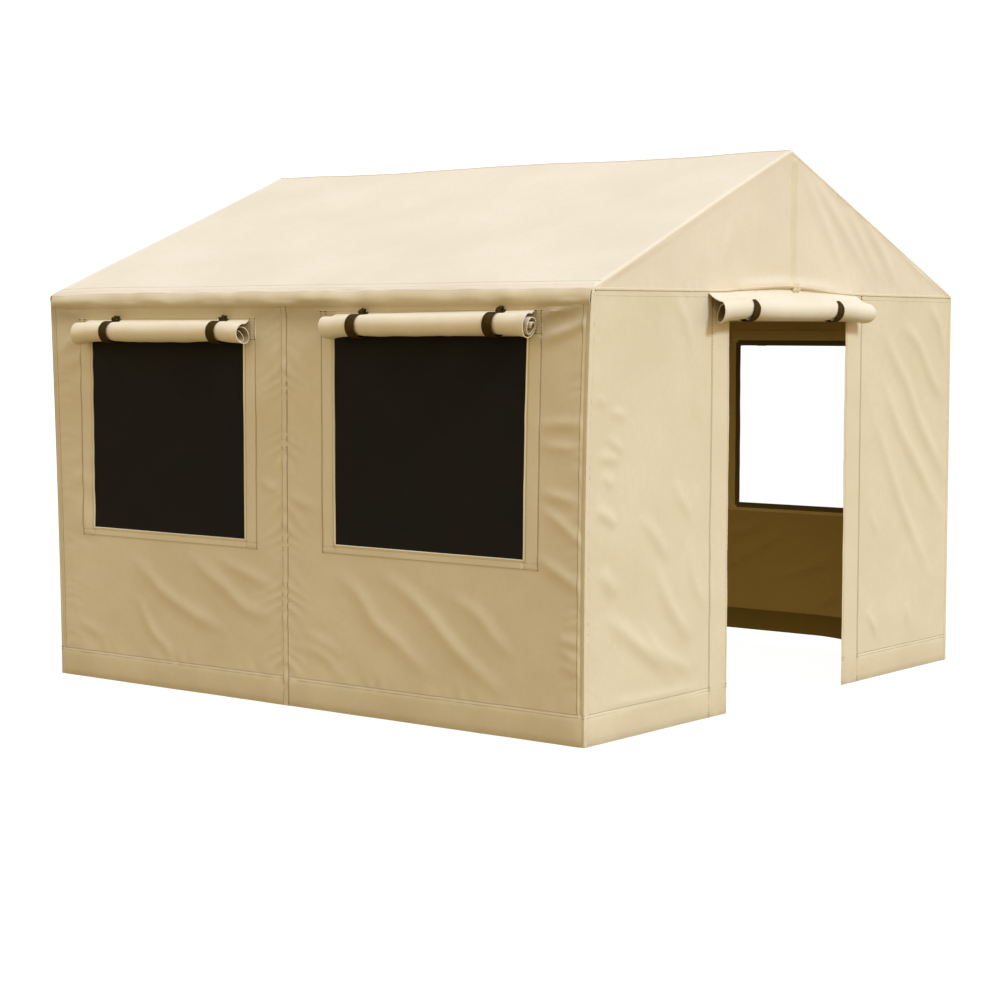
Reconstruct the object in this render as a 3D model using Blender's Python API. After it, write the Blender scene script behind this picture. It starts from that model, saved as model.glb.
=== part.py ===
"""A cabin tent: canvas walls and a gable roof over a frame of steel tubes.

Metres, +Z up. The ridge runs along X, the doorway is in the +X end, and the origin is on the
ground under the middle of the tent. Each of the four sides is drawn as it is seen from outside:
u runs from left to right, out points away from the tent, and an empty turns the side into place.
"""

import math

import bmesh
import bpy
from mathutils import Vector

# Driving dimensions of the tent, over its canvas
LENGTH = 3.09
WIDTH = 3.04
EAVE_HEIGHT = 1.80
RIDGE_HEIGHT = 2.42

# Sheet goods
CANVAS = 0.002
TRIM = 0.0008
MESH = 0.001
GAP = 0.0003

# Windows: one pattern serves all five, and a long wall has two of them
WINDOW_WIDTH = 0.99
WINDOW_SILL = 0.73
WINDOW_HEAD = 1.605
LEFT_WINDOW_U = -0.805
RIGHT_WINDOW_U = 0.735
WALL_SEAM_U = -0.077
SURROUND_SIDE = 0.075
SURROUND_FOOT = 0.04
HEM_HEIGHT = 0.085

# Doorway
DOOR_WIDTH = 0.98
DOOR_HEAD = 1.675
JAMB = 0.13
GABLE_SEAM = EAVE_HEIGHT - 0.01

# Rolled flaps and the webbing loops that hold them
ROLL_STEP = 0.004
WINDOW_ROLL_RADIUS = 0.049
WINDOW_ROLL_HEIGHT = 1.650
WINDOW_ROLL_LENGTH = 1.085
DOOR_ROLL_RADIUS = 0.046
DOOR_ROLL_HEIGHT = 1.733
DOOR_ROLL_LENGTH = 1.20
DOOR_ROLL_U = -0.035
WINDOW_STRAPS_U = (-0.32, 0.383)
DOOR_STRAPS_U = (-0.428, 0.285)
STRAP_WIDTH = 0.050
STRAP_THICKNESS = 0.0025
STRAP_TAB = 0.02
BAND_BELOW_ROLL = 0.036
BAND_ABOVE_ROLL = 0.064
ROLL_SEGMENTS = 24

# Steel frame
TUBE_RADIUS = 0.016
SOCKET_RADIUS = 0.019
SOCKET_LENGTH = 0.080
SOCKET_CLEARANCE = 0.0005
HEAD_RADIUS = 0.029
TUBE_START = 0.030
FOOT_PLATE = 0.080
FOOT_PLATE_THICKNESS = 0.004
TUBE_SIDES = 16

# Worked out from the driving dimensions
HALF_LENGTH = LENGTH / 2
HALF_WIDTH = WIDTH / 2
PITCH = math.atan2(RIDGE_HEIGHT - EAVE_HEIGHT, HALF_WIDTH)
ROOF_DROP = CANVAS / math.cos(PITCH)
WALL_TOP = EAVE_HEIGHT - ROOF_DROP - GAP
END_HALF_WIDTH = HALF_WIDTH - CANVAS - GAP
POST_X = HALF_LENGTH - CANVAS - GAP - HEAD_RADIUS
POST_Y = HALF_WIDTH - CANVAS - GAP - HEAD_RADIUS
AXIS_DROP = ROOF_DROP + (HEAD_RADIUS + GAP) / math.cos(PITCH)
RIDGE_AXIS = RIDGE_HEIGHT - AXIS_DROP
EAVE_AXIS = RIDGE_AXIS - POST_Y * math.tan(PITCH)

# Each side's turn about Z, and how far its canvas stands from the middle of the tent
SIDES = {
    "front": (0, HALF_WIDTH),
    "door_end": (90, HALF_LENGTH),
    "rear": (180, HALF_WIDTH),
    "far_end": (270, HALF_LENGTH),
}
# How much lower than the front's a side's rolls are tied, with the heads of the windows under them
WINDOW_DROP = {"front": 0.0, "rear": 0.048, "far_end": 0.0}
# A long wall's two widths of canvas: from u, to u, and the middle of the window
WALL_WIDTHS = {
    "left": (-HALF_LENGTH, WALL_SEAM_U - GAP / 2, LEFT_WINDOW_U),
    "right": (WALL_SEAM_U + GAP / 2, HALF_LENGTH, RIGHT_WINDOW_U),
}


def clear_scene():
    for stale in list(bpy.data.objects):
        bpy.data.objects.remove(stale)


def make_material(name, colour, roughness, metallic=0.0):
    material = bpy.data.materials.new(name)
    material.use_nodes = True
    shader = material.node_tree.nodes["Principled BSDF"]
    shader.inputs["Base Color"].default_value = (*colour, 1.0)
    shader.inputs["Roughness"].default_value = roughness
    shader.inputs["Metallic"].default_value = metallic
    return material


def add_object(name, shape):
    """An object from a bmesh, which it uses up."""
    bmesh.ops.recalc_face_normals(shape, faces=shape.faces)
    mesh = bpy.data.meshes.new(name)
    shape.to_mesh(mesh)
    shape.free()
    made = bpy.data.objects.new(name, mesh)
    bpy.context.scene.collection.objects.link(made)
    return made


def add_box(name, low, high):
    low, high = Vector(low), Vector(high)
    shape = bmesh.new()
    bmesh.ops.create_cube(shape, size=1.0)
    bmesh.ops.scale(shape, vec=high - low, verts=shape.verts)
    bmesh.ops.translate(shape, vec=(low + high) / 2, verts=shape.verts)
    return add_object(name, shape)


def add_prism(name, outline, sweep):
    """The outline's points swept along the vector sweep."""
    shape = bmesh.new()
    face = shape.faces.new([shape.verts.new(point) for point in outline])
    swept = bmesh.ops.extrude_face_region(shape, geom=[face])["geom"]
    moved = [item for item in swept if isinstance(item, bmesh.types.BMVert)]
    bmesh.ops.translate(shape, vec=sweep, verts=moved)
    return add_object(name, shape)


def add_rod(name, start, end, radius):
    """A round bar from start to end."""
    start, end = Vector(start), Vector(end)
    axis = end - start
    shape = bmesh.new()
    bmesh.ops.create_cone(
        shape,
        cap_ends=True,
        segments=TUBE_SIDES,
        radius1=radius,
        radius2=radius,
        depth=axis.length,
    )
    turn = axis.to_track_quat("Z", "Y").to_matrix()
    bmesh.ops.rotate(shape, matrix=turn, verts=shape.verts)
    bmesh.ops.translate(shape, vec=(start + end) / 2, verts=shape.verts)
    return add_object(name, shape)


def add_ball(name, centre, radius):
    shape = bmesh.new()
    bmesh.ops.create_uvsphere(
        shape, u_segments=TUBE_SIDES, v_segments=TUBE_SIDES // 2, radius=radius
    )
    bmesh.ops.translate(shape, vec=centre, verts=shape.verts)
    return add_object(name, shape)


def combine(base, others, operation):
    """Joins the others to the base, or cuts them from it, and removes them."""
    for other in others:
        step = base.modifiers.new(operation, "BOOLEAN")
        step.operation = operation
        step.object = other
    graph = bpy.context.evaluated_depsgraph_get()
    result = bpy.data.meshes.new_from_object(base.evaluated_get(graph))
    base.modifiers.clear()
    base.data = result
    for other in others:
        bpy.data.objects.remove(other)
    return base


def finish(made, material, smooth=False):
    made.data.materials.clear()
    made.data.materials.append(material)
    if smooth:
        made.data.shade_smooth()
        made.data.set_sharp_from_angle(angle=math.radians(35))
    return made


def add_sides():
    """An empty for each side, which turns what is drawn as seen from outside into place."""
    made = {}
    for name, (turn, _) in SIDES.items():
        empty = bpy.data.objects.new(name + "_side", None)
        empty.rotation_euler.z = math.radians(turn)
        bpy.context.scene.collection.objects.link(empty)
        made[name] = empty
    return made


def side_box(name, side, u, out, height):
    """A box on a side: (from, to) across it, outwards from its canvas, and up."""
    distance = SIDES[side][1]
    low = (u[0], -(distance + out[1]), height[0])
    high = (u[1], -(distance + out[0]), height[1])
    return add_box(name, low, high)


def side_panel(name, side, outline):
    """A sheet of canvas on a side, from (u, height) points."""
    distance = SIDES[side][1]
    points = [(u, CANVAS - distance, height) for u, height in outline]
    return add_prism(name, points, (0, -CANVAS, 0))


def trim_box(side, u, height):
    """A strip sewn to the outside of a panel, sunk into it so that the two fuse."""
    return side_box("trim", side, u, (-CANVAS / 2, TRIM), height)


def window_head(side):
    return WINDOW_HEAD - WINDOW_DROP[side]


def window_roll_height(side):
    return WINDOW_ROLL_HEIGHT - WINDOW_DROP[side]


def window_trim(side, middle):
    """The sheet sewn on round a window, before the window is cut through it."""
    outer = WINDOW_WIDTH / 2 + SURROUND_SIDE
    top = window_roll_height(side) - BAND_BELOW_ROLL - GAP
    return trim_box(side, (middle - outer, middle + outer), (WINDOW_SILL - SURROUND_FOOT, top))


def window_cut(side, middle):
    half = WINDOW_WIDTH / 2
    depth, height = (-2 * CANVAS, 2 * CANVAS), (WINDOW_SILL, window_head(side))
    return side_box("cut", side, (middle - half, middle + half), depth, height)


def add_windowed_panel(name, side, outline, middle, hem):
    """A sheet of canvas with its hem and one window, whose surround is sewn on."""
    panel = side_panel(name, side, outline)
    strips = [window_trim(side, middle), trim_box(side, hem, (0, HEM_HEIGHT))]
    combine(panel, strips, "UNION")
    return combine(panel, [window_cut(side, middle)], "DIFFERENCE")


def add_screen(name, side, middle):
    """The insect mesh that fills a window."""
    half = WINDOW_WIDTH / 2 - GAP
    inset = (-CANVAS / 2 - MESH / 2, -CANVAS / 2 + MESH / 2)
    height = (WINDOW_SILL + GAP, window_head(side) - GAP)
    return side_box(name, side, (middle - half, middle + half), inset, height)


def strap_radius(roll_radius):
    """Radius over the webbing round a rolled flap."""
    return roll_radius + SOCKET_CLEARANCE + STRAP_THICKNESS


def roll_axis(side, roll_radius):
    """How far a rolled flap's axis is from the tent's middle. Its loops fuse with their band."""
    standoff = GAP + CANVAS + strap_radius(roll_radius) - STRAP_THICKNESS / 3
    return SIDES[side][1] + standoff


def round_outline(distance, u, height, radius, step=0.0):
    """Points round a rolled flap's axis, at u. The radius shrinks by step over the turn."""
    points = []
    for index in range(ROLL_SEGMENTS):
        share = index / ROLL_SEGMENTS
        angle = 2 * math.pi * share
        reach = radius - step * share
        points.append((u, -(distance + reach * math.cos(angle)), height + reach * math.sin(angle)))
    return points


def add_roll(name, side, middle, length, height, radius):
    """A flap rolled up. Its free edge makes a small step along the roll."""
    distance = roll_axis(side, radius)
    outline = round_outline(distance, middle - length / 2, height, radius, ROLL_STEP)
    return add_prism(name, outline, (length, 0, 0))


def add_loop(side, start, height, roll_radius):
    """A flat ring of webbing round a rolled flap, from start rightwards."""
    outer = strap_radius(roll_radius)
    distance = roll_axis(side, roll_radius)
    overrun = STRAP_WIDTH / 4
    ring = round_outline(distance, start, height, outer)
    hole = round_outline(distance, start - overrun, height, outer - STRAP_THICKNESS)
    loop = add_prism("loop", ring, (STRAP_WIDTH, 0, 0))
    bore = add_prism("bore", hole, (STRAP_WIDTH + 2 * overrun, 0, 0))
    return combine(loop, [bore], "DIFFERENCE")


def add_straps(name, side, middle, straps, band_half, height, roll_radius):
    """Webbing loops round a roll, and the canvas band over the opening that they are sewn to."""
    band_top = height + BAND_ABOVE_ROLL
    band_u = (middle - band_half, middle + band_half)
    band = side_box(name, side, band_u, (GAP, GAP + CANVAS), (height - BAND_BELOW_ROLL, band_top))
    pieces = []
    for offset in straps:
        start = middle + offset - STRAP_WIDTH / 2
        tab_u = (start, start + STRAP_WIDTH)
        tab_height = (band_top - STRAP_TAB, band_top + STRAP_TAB / 4)
        pieces.append(add_loop(side, start, height, roll_radius))
        pieces.append(side_box("tab", side, tab_u, (GAP, GAP + CANVAS + TRIM), tab_height))
    return combine(band, pieces, "UNION")


def under_roof(distance):
    """Height of the top of an end wall, at a distance from the ridge line."""
    return RIDGE_HEIGHT - ROOF_DROP - GAP - abs(distance) * math.tan(PITCH)


def add_roof(sides, canvas):
    """A sheet of canvas for each slope, which meet at the ridge seam."""
    outline = [
        (-HALF_LENGTH, -HALF_WIDTH, EAVE_HEIGHT),
        (-HALF_LENGTH, -GAP / 2, RIDGE_HEIGHT),
        (-HALF_LENGTH, -GAP / 2, RIDGE_HEIGHT - ROOF_DROP),
        (-HALF_LENGTH, -HALF_WIDTH, EAVE_HEIGHT - ROOF_DROP),
    ]
    for side in ("front", "rear"):
        slope = add_prism("roof_" + side, outline, (LENGTH, 0, 0))
        slope.parent = sides[side]
        finish(slope, canvas)


def add_window_goods(side, label, middle, sides, materials):
    """A window's screen, its rolled flap, and the straps that hold the flap."""
    band_half = WINDOW_WIDTH / 2 + SURROUND_SIDE
    screen = add_screen("screen_" + label, side, middle)
    height, radius = window_roll_height(side), WINDOW_ROLL_RADIUS
    flap = add_roll("flap_" + label, side, middle, WINDOW_ROLL_LENGTH, height, radius)
    straps = add_straps(
        "straps_" + label, side, middle, WINDOW_STRAPS_U, band_half, height, radius
    )
    finish(screen, materials["screen"])
    finish(flap, materials["canvas"], smooth=True)
    finish(straps, materials["webbing"], smooth=True)
    for piece in (screen, flap, straps):
        piece.parent = sides[side]


def add_long_wall(side, sides, materials):
    """Two widths of canvas sewn together, each with a window."""
    for width, (start, end, middle) in WALL_WIDTHS.items():
        outline = [(start, 0), (end, 0), (end, WALL_TOP), (start, WALL_TOP)]
        label = side + "_" + width
        panel = add_windowed_panel("wall_" + label, side, outline, middle, (start, end))
        panel.parent = sides[side]
        finish(panel, materials["canvas"])
        add_window_goods(side, label, middle, sides, materials)


def add_door_end(sides, materials):
    """A panel on each side of the doorway, and a gable that comes down to its head."""
    side = "door_end"
    half_door = DOOR_WIDTH / 2
    edge, top = END_HALF_WIDTH, GABLE_SEAM - GAP
    left = [(-edge, 0), (-half_door, 0), (-half_door, top), (-edge, top)]
    for label, turn in (("left", 1), ("right", -1)):
        outline = [(u * turn, height) for u, height in left]
        hem = sorted((-edge * turn, -half_door * turn))
        jamb = sorted(((-half_door - JAMB) * turn, -half_door * turn))
        panel = side_panel("wall_door_" + label, side, outline)
        strips = [trim_box(side, hem, (0, HEM_HEIGHT)), trim_box(side, jamb, (HEM_HEIGHT / 2, top))]
        combine(panel, strips, "UNION")
        panel.parent = sides[side]
        finish(panel, materials["canvas"])
    head = half_door - GAP
    gable = side_panel(
        "gable_door",
        side,
        [
            (-head, DOOR_HEAD),
            (head, DOOR_HEAD),
            (head, GABLE_SEAM),
            (edge, GABLE_SEAM),
            (edge, under_roof(edge)),
            (0, under_roof(0)),
            (-edge, under_roof(edge)),
            (-edge, GABLE_SEAM),
            (-head, GABLE_SEAM),
        ],
    )
    finish(gable, materials["canvas"])
    height, radius = DOOR_ROLL_HEIGHT, DOOR_ROLL_RADIUS
    flap = add_roll("flap_door", side, DOOR_ROLL_U, DOOR_ROLL_LENGTH, height, radius)
    finish(flap, materials["canvas"], smooth=True)
    straps = add_straps("straps_door", side, 0, DOOR_STRAPS_U, head, height, radius)
    finish(straps, materials["webbing"], smooth=True)
    for piece in (gable, flap, straps):
        piece.parent = sides[side]


def add_far_end(sides, materials):
    """One panel with a window like the others in its middle, and a gable over it."""
    side = "far_end"
    edge, top = END_HALF_WIDTH, GABLE_SEAM - GAP
    outline = [(-edge, 0), (edge, 0), (edge, top), (-edge, top)]
    panel = add_windowed_panel("wall_far_end", side, outline, 0, (-edge, edge))
    gable = side_panel(
        "gable_far_end",
        side,
        [
            (-edge, GABLE_SEAM),
            (edge, GABLE_SEAM),
            (edge, under_roof(edge)),
            (0, under_roof(0)),
            (-edge, under_roof(edge)),
        ],
    )
    for piece in (panel, gable):
        piece.parent = sides[side]
        finish(piece, materials["canvas"])
    add_window_goods(side, "far_end", 0, sides, materials)


def joint_point(x, y):
    """Where the axes of a post, a rafter and a rail meet, or the ridge over them at y 0."""
    return Vector((x, y, EAVE_AXIS if y else RIDGE_AXIS))


def add_sockets(centre, directions):
    """Sleeves that leave a joint in the given directions, and the bores for the tubes in them."""
    sleeves, bores = [add_ball("ball", centre, HEAD_RADIUS)], []
    for direction in directions:
        direction = Vector(direction).normalized()
        root = centre + direction * TUBE_RADIUS / 4
        mouth = centre + direction * SOCKET_LENGTH
        start = centre + direction * TUBE_START
        past_mouth = mouth + direction * SOCKET_RADIUS
        sleeves.append(add_rod("sleeve", root, mouth, SOCKET_RADIUS))
        bores.append(add_rod("bore", start, past_mouth, TUBE_RADIUS + SOCKET_CLEARANCE))
    return sleeves, bores


def up_slope(y):
    """The way a rafter leaves the eave at y."""
    return (0, -math.copysign(math.cos(PITCH), y), math.sin(PITCH))


def add_post(name, x, y, steel):
    """An upright with its foot plate, and a head with a socket for each tube it meets."""
    centre = joint_point(x, y)
    rails = [(1, 0, 0), (-1, 0, 0)] if x == 0 else [(-math.copysign(1, x), 0, 0)]
    sleeves, bores = add_sockets(centre, [up_slope(y), *rails])
    below = centre - Vector((0, 0, SOCKET_LENGTH))
    inside_ball = centre - Vector((0, 0, TUBE_RADIUS / 4))
    sleeves.append(add_rod("collar", below, inside_ball, SOCKET_RADIUS))
    # The plate's outer edges are in line with the head, and it reaches inwards from there
    outer_y = y + math.copysign(SOCKET_RADIUS, y)
    inner_y = outer_y - math.copysign(FOOT_PLATE, y)
    outer_x = x + (math.copysign(SOCKET_RADIUS, x) if x else FOOT_PLATE / 2)
    inner_x = outer_x - (math.copysign(FOOT_PLATE, x) if x else FOOT_PLATE)
    low = (min(outer_x, inner_x), min(outer_y, inner_y), 0)
    high = (max(outer_x, inner_x), max(outer_y, inner_y), FOOT_PLATE_THICKNESS)
    plate = add_box("plate", low, high)
    post = add_rod(name, (x, y, FOOT_PLATE_THICKNESS / 2), below + Vector((0, 0, GAP)), TUBE_RADIUS)
    combine(post, [plate, *sleeves], "UNION")
    combine(post, bores, "DIFFERENCE")
    return finish(post, steel, smooth=True)


def add_tube(name, start, end, steel):
    """A tube between two joints, which ends inside their sockets."""
    along = (end - start).normalized()
    inset = along * (TUBE_START + GAP)
    return finish(add_rod(name, start + inset, end - inset, TUBE_RADIUS), steel, smooth=True)


def add_ridge_pole(frames, steel):
    """The ridge tube, with a pair of welded rafter sockets over each pair of posts."""
    pole = add_rod("ridge_pole", joint_point(-POST_X, 0), joint_point(POST_X, 0), TUBE_RADIUS)
    sleeves, bores = [], []
    for x in frames.values():
        down = [[-part for part in up_slope(y)] for y in (-POST_Y, POST_Y)]
        more_sleeves, more_bores = add_sockets(joint_point(x, 0), down)
        sleeves += more_sleeves
        bores += more_bores
    combine(pole, sleeves, "UNION")
    combine(pole, bores, "DIFFERENCE")
    return finish(pole, steel, smooth=True)


def add_frame(steel):
    """Three frames of two posts and two rafters, tied by the eave rails and the ridge pole."""
    frames = {"far": -POST_X, "middle": 0, "door": POST_X}
    for side, y in (("front", -POST_Y), ("rear", POST_Y)):
        for frame, x in frames.items():
            add_post(f"post_{side}_{frame}", x, y, steel)
            add_tube(f"rafter_{side}_{frame}", joint_point(x, y), joint_point(x, 0), steel)
        middle = joint_point(0, y)
        for frame in ("far", "door"):
            add_tube(f"eave_rail_{side}_{frame}", middle, joint_point(frames[frame], y), steel)
    add_ridge_pole(frames, steel)


def main():
    clear_scene()
    materials = {
        "canvas": make_material("canvas", (0.73, 0.60, 0.40), 0.85),
        "screen": make_material("screen", (0.012, 0.011, 0.009), 0.8),
        "webbing": make_material("webbing", (0.045, 0.030, 0.012), 0.75),
        "steel": make_material("steel", (0.55, 0.56, 0.57), 0.4, metallic=0.9),
    }
    sides = add_sides()
    add_frame(materials["steel"])
    add_roof(sides, materials["canvas"])
    add_long_wall("front", sides, materials)
    add_long_wall("rear", sides, materials)
    add_door_end(sides, materials)
    add_far_end(sides, materials)


main()
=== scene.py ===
"""The looks of a cabin tent: its canvas, rolled flaps, webbing, insect mesh and stitching.

Metres, +Z up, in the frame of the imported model. Each side is drawn as it is seen from outside: u
runs from left to right, v runs up it, and out points away from the tent. On the roof, u runs along
the ridge and v across it, from the front eave to the rear one.
"""

import math

import bpy
import numpy as np
from mathutils import Matrix, Vector


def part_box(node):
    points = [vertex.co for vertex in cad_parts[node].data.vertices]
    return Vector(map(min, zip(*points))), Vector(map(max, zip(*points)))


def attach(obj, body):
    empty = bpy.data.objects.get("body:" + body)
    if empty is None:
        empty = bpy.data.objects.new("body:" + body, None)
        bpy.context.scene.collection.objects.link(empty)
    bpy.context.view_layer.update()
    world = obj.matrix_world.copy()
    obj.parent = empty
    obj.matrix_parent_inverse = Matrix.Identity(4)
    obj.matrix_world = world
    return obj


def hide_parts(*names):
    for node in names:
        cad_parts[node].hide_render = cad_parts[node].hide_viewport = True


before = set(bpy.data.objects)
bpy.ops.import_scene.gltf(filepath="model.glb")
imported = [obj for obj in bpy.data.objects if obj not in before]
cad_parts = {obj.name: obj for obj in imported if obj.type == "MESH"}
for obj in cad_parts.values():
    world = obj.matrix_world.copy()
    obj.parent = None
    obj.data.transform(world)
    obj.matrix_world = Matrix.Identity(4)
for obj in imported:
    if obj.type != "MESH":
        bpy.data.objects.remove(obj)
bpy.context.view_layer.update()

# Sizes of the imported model
HALF_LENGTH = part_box("roof_front")[1].x
HALF_WIDTH = -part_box("roof_front")[0].y
RIDGE_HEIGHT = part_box("roof_front")[1].z
EAVE_HEIGHT = 1.80
END_HALF_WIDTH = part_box("gable_door")[1].y
END_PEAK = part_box("gable_door")[1].z
GABLE_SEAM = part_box("wall_door_left")[1].z
WALL_SEAM_U = -0.077
DOOR_HALF_WIDTH = 0.49
DOOR_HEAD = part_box("gable_door")[0].z
PITCH = math.atan2(RIDGE_HEIGHT - EAVE_HEIGHT, HALF_WIDTH)
WINDOW_GAP = 0.0003

# The camera: place in metres, then yaw, pitch and roll in degrees, and its lens and sensor in mm
CAMERA_PLACE = (6.7218, -8.5700, 1.6521)
CAMERA_AIM = (128.445, -4.409, 0.044)
CAMERA_LENS = 81.03
CAMERA_SENSOR = 36.0

# Canvas: its thickness, the strips sewn on it, its corners and edges, and how folds are scaled
CANVAS = 0.001
STRIP_LIFT = 0.0011
STRIP_EDGE = 0.0026
HEM_HEIGHT = 0.130
SURROUND_SIDE = 0.075
SURROUND_FOOT = 0.04
SEAM_WIDTH = 0.045
SEAM_SHIFT = 0.0095
GABLE_STRIP = 0.014
CORNER_STRIP = 0.026
RIDGE_STRIP = 0.036
UPRIGHT_STRIP = 0.054
BOWED_STRIP = 0.012
HEAD_STRIP = 0.04
WELT = 0.010
PIPING = 0.007
BINDING = 0.024
HOLD_EDGE = 0.024
CORNER_ROUND = 0.008
CORNER_SINK = 0.004
GROOVE_INSET = 0.016
GROOVE_WIDTH = 0.006
GROOVE_DEPTH = 0.007
RAKE_FLARE = 0.0023
EAVE_FLARE = 0.0071
LONG_RISE = 1.15
END_RISE = 1.55
FOLD_SPREAD = 1.08
FOLD_CREST = 0.55
SOIL = 0.35

# Stitches, wider and darker than real thread so that they also paint the seams' shadow lines, how far
# rows of them lie from a strip's edge or middle, and the angle in degrees over which the edges of sewn
# pieces stay sharp
STITCH_LENGTH = 0.0092
STITCH_PITCH = 0.0112
STITCH_WIDTH = 0.0039
STITCH_HEIGHT = 0.0009
ROW_GAP = 0.012
HEM_INSET = 0.008
STRIP_INSET = 0.006
BAND_INSET = 0.0045
JAMB_INSETS = (0.0045, 0.009, 0.0135)
RIDGE_ROWS = (-0.012, 0.012)
SEAM_ROWS = (-SEAM_WIDTH / 2 + 0.0035, -SEAM_WIDTH / 2 + 0.0070, 0.0125)
SEWN_SHARP = 80

# Steps between the points of each sheet, and points in one turn of a roll
FRONT_STEP = 0.0125
REAR_STEP = 0.016
DOOR_END_STEP = 0.014
FAR_END_STEP = 0.020
ROOF_STEPS = (0.022, 0.024)
SCREEN_STEP = 0.03
ROLL_STEP = 0.024
TURN_POINTS = 22

# Roof sheet: how far it stands off the model's plane, and how its edges turn down. At the eaves it
# goes round past upright and comes back to the wall at the skirt's foot.
ROOF_LIFT = 0.0035
EAVE_REACH = 0.012
RIDGE_ROUND = 0.05
EAVE_ROUND = 0.060
EAVE_UNDER = math.radians(12)
EAVE_SKIRT = 0.0114
EAVE_FACE = 0.029
SKIRT_FOOT = 1.735
RAKE_ROUND = 0.009
RAKE_SKIRT = 0.005
ROOF_HEM = 0.045
RAKE_HEM = 0.018
SLOPE_SAG = 0.010
RIDGE_SAG = 0.008
CORNER_TUCK = 0.008

# How far up the long walls' cloth goes under the roof's edge, and where sewn strips end
WALL_END = SKIRT_FOOT + 0.012
STRIP_TOP = SKIRT_FOOT - 0.001
CORNER_STRIP_TOP = 1.788

# How far the front's near eave corner leans along the tent, and the far one along it, out of it and
# down. Then where the rear wall's hem starts to rise, is full up, leaves that and is down again, and
# how far it rises.
NEAR_LEAN = 0.030
FAR_LEAN = (0.026, 0.018, 0.006)
REAR_RISE = (-1.50, -0.80, 0.10, 0.80, 0.056)

# Rolled flaps and webbing. A tail is the cloth from a flap's root on the wall to its roll.
BAND_LOW = -0.036
BAND_HIGH = 0.064
BAND_BOX = 0.028
STRAP_WIDTH = 0.051
STRAP_THICKNESS = 0.0032
FLAP_THICKNESS = 0.0032
WINDOW_ROLL_RADIUS = 0.0485
DOOR_ROLL_RADIUS = 0.048
ROLL_TURNS = 2.3
ROLL_CORE = 0.27
ROLL_GAP = 0.0045
ROLL_SAG = 0.004
END_DROP = 0.10
WAIST = 0.07
WAIST_REACH = 0.035
END_REACH = 0.07
TAIL_GAP = 0.004
TAIL_HANG = 0.007
TAIL_TUCK = 0.022
STRAP_GAP = 0.0040
TAB_WIDTH = STRAP_WIDTH * 0.36

# How the openings and their rolls depart from the model's: the opening's edges, then the roll's
# shift along and up, its extra length and its rise from left to right, how far its middle stands
# out of its ends, how far its front stands out there, and its straps' places
PLAIN = dict(
    left=0.0, right=0.0, head=0.0, foot=0.0, along=0.0, up=0.0, longer=0.0, rise=0.0,
    core=-0.022, skew=0.0, straps=(-0.32, 0.383),
)
CHANGES = {
    "front_left": dict(
        head=-0.012, foot=-0.018, along=0.0095, up=-0.024, longer=-0.004, core=-0.055,
        straps=(-0.3215, 0.3765),
    ),
    "front_right": dict(
        left=-0.014, right=0.013, head=0.012, foot=-0.009, along=0.025, up=0.006, longer=-0.039,
        rise=0.013, core=0.016, straps=(-0.3535, 0.3545),
    ),
    "rear_left": dict(right=-0.016, foot=-0.006),
    "door": dict(
        along=-0.009, up=-0.010, longer=0.018, core=-0.070, skew=0.028, straps=(-0.384, 0.321)
    ),
}

JAMB_LINES = {"left": -0.637, "right": 0.64}
GABLE_SEAM_PATH = [
    (-1.50, 1.797), (-0.62, 1.802), (-0.43, 1.810), (-0.15, 1.824),
    (0.03, 1.824), (0.40, 1.806), (0.71, 1.798), (1.50, 1.796),
]
BOWED_SEAM = (-0.43, 0.38)
UPRIGHT_SEAM = (0.028, 1.835, 2.385)
STRAP_SECTION = np.array(
    [(-1, 0), (-0.95, 1), (0, 1.15), (0.95, 1), (1, 0), (0.95, -1), (0, -1), (-0.95, -1), (-1, 0)]
)

# Painted shade on the long walls' cloth by its height, darkest just under the roof's edge, and the light
# from below at 0 to overhead at 1
EAVE_PAINTED_SHADE = [
    (1.62, (1.0, 1.0, 1.0, 1.0)),
    (1.69, (0.78, 0.765, 0.71, 1.0)),
    (1.725, (0.77, 0.75, 0.69, 1.0)),
    (1.740, (0.73, 0.69, 0.60, 1.0)),
    (1.753, (0.82, 0.80, 0.74, 1.0)),
    (1.778, (1.0, 1.0, 1.0, 1.0)),
]
SKY = [
    (0.0, (0.305, 0.240, 0.130, 1.0)),
    (0.47, (0.441, 0.364, 0.217, 1.0)),
    (0.53, (0.988, 0.744, 0.290, 1.0)),
    (1.0, (0.826, 0.981, 1.258, 1.0)),
]

# The sun's light
SUN_STRENGTH = 1.866
SUN_COLOUR = (0.86, 1.0, 1.22)
SUN_SIZE = math.radians(12)
SUN_WAY = (0.78, -0.055, 0.61)

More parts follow.
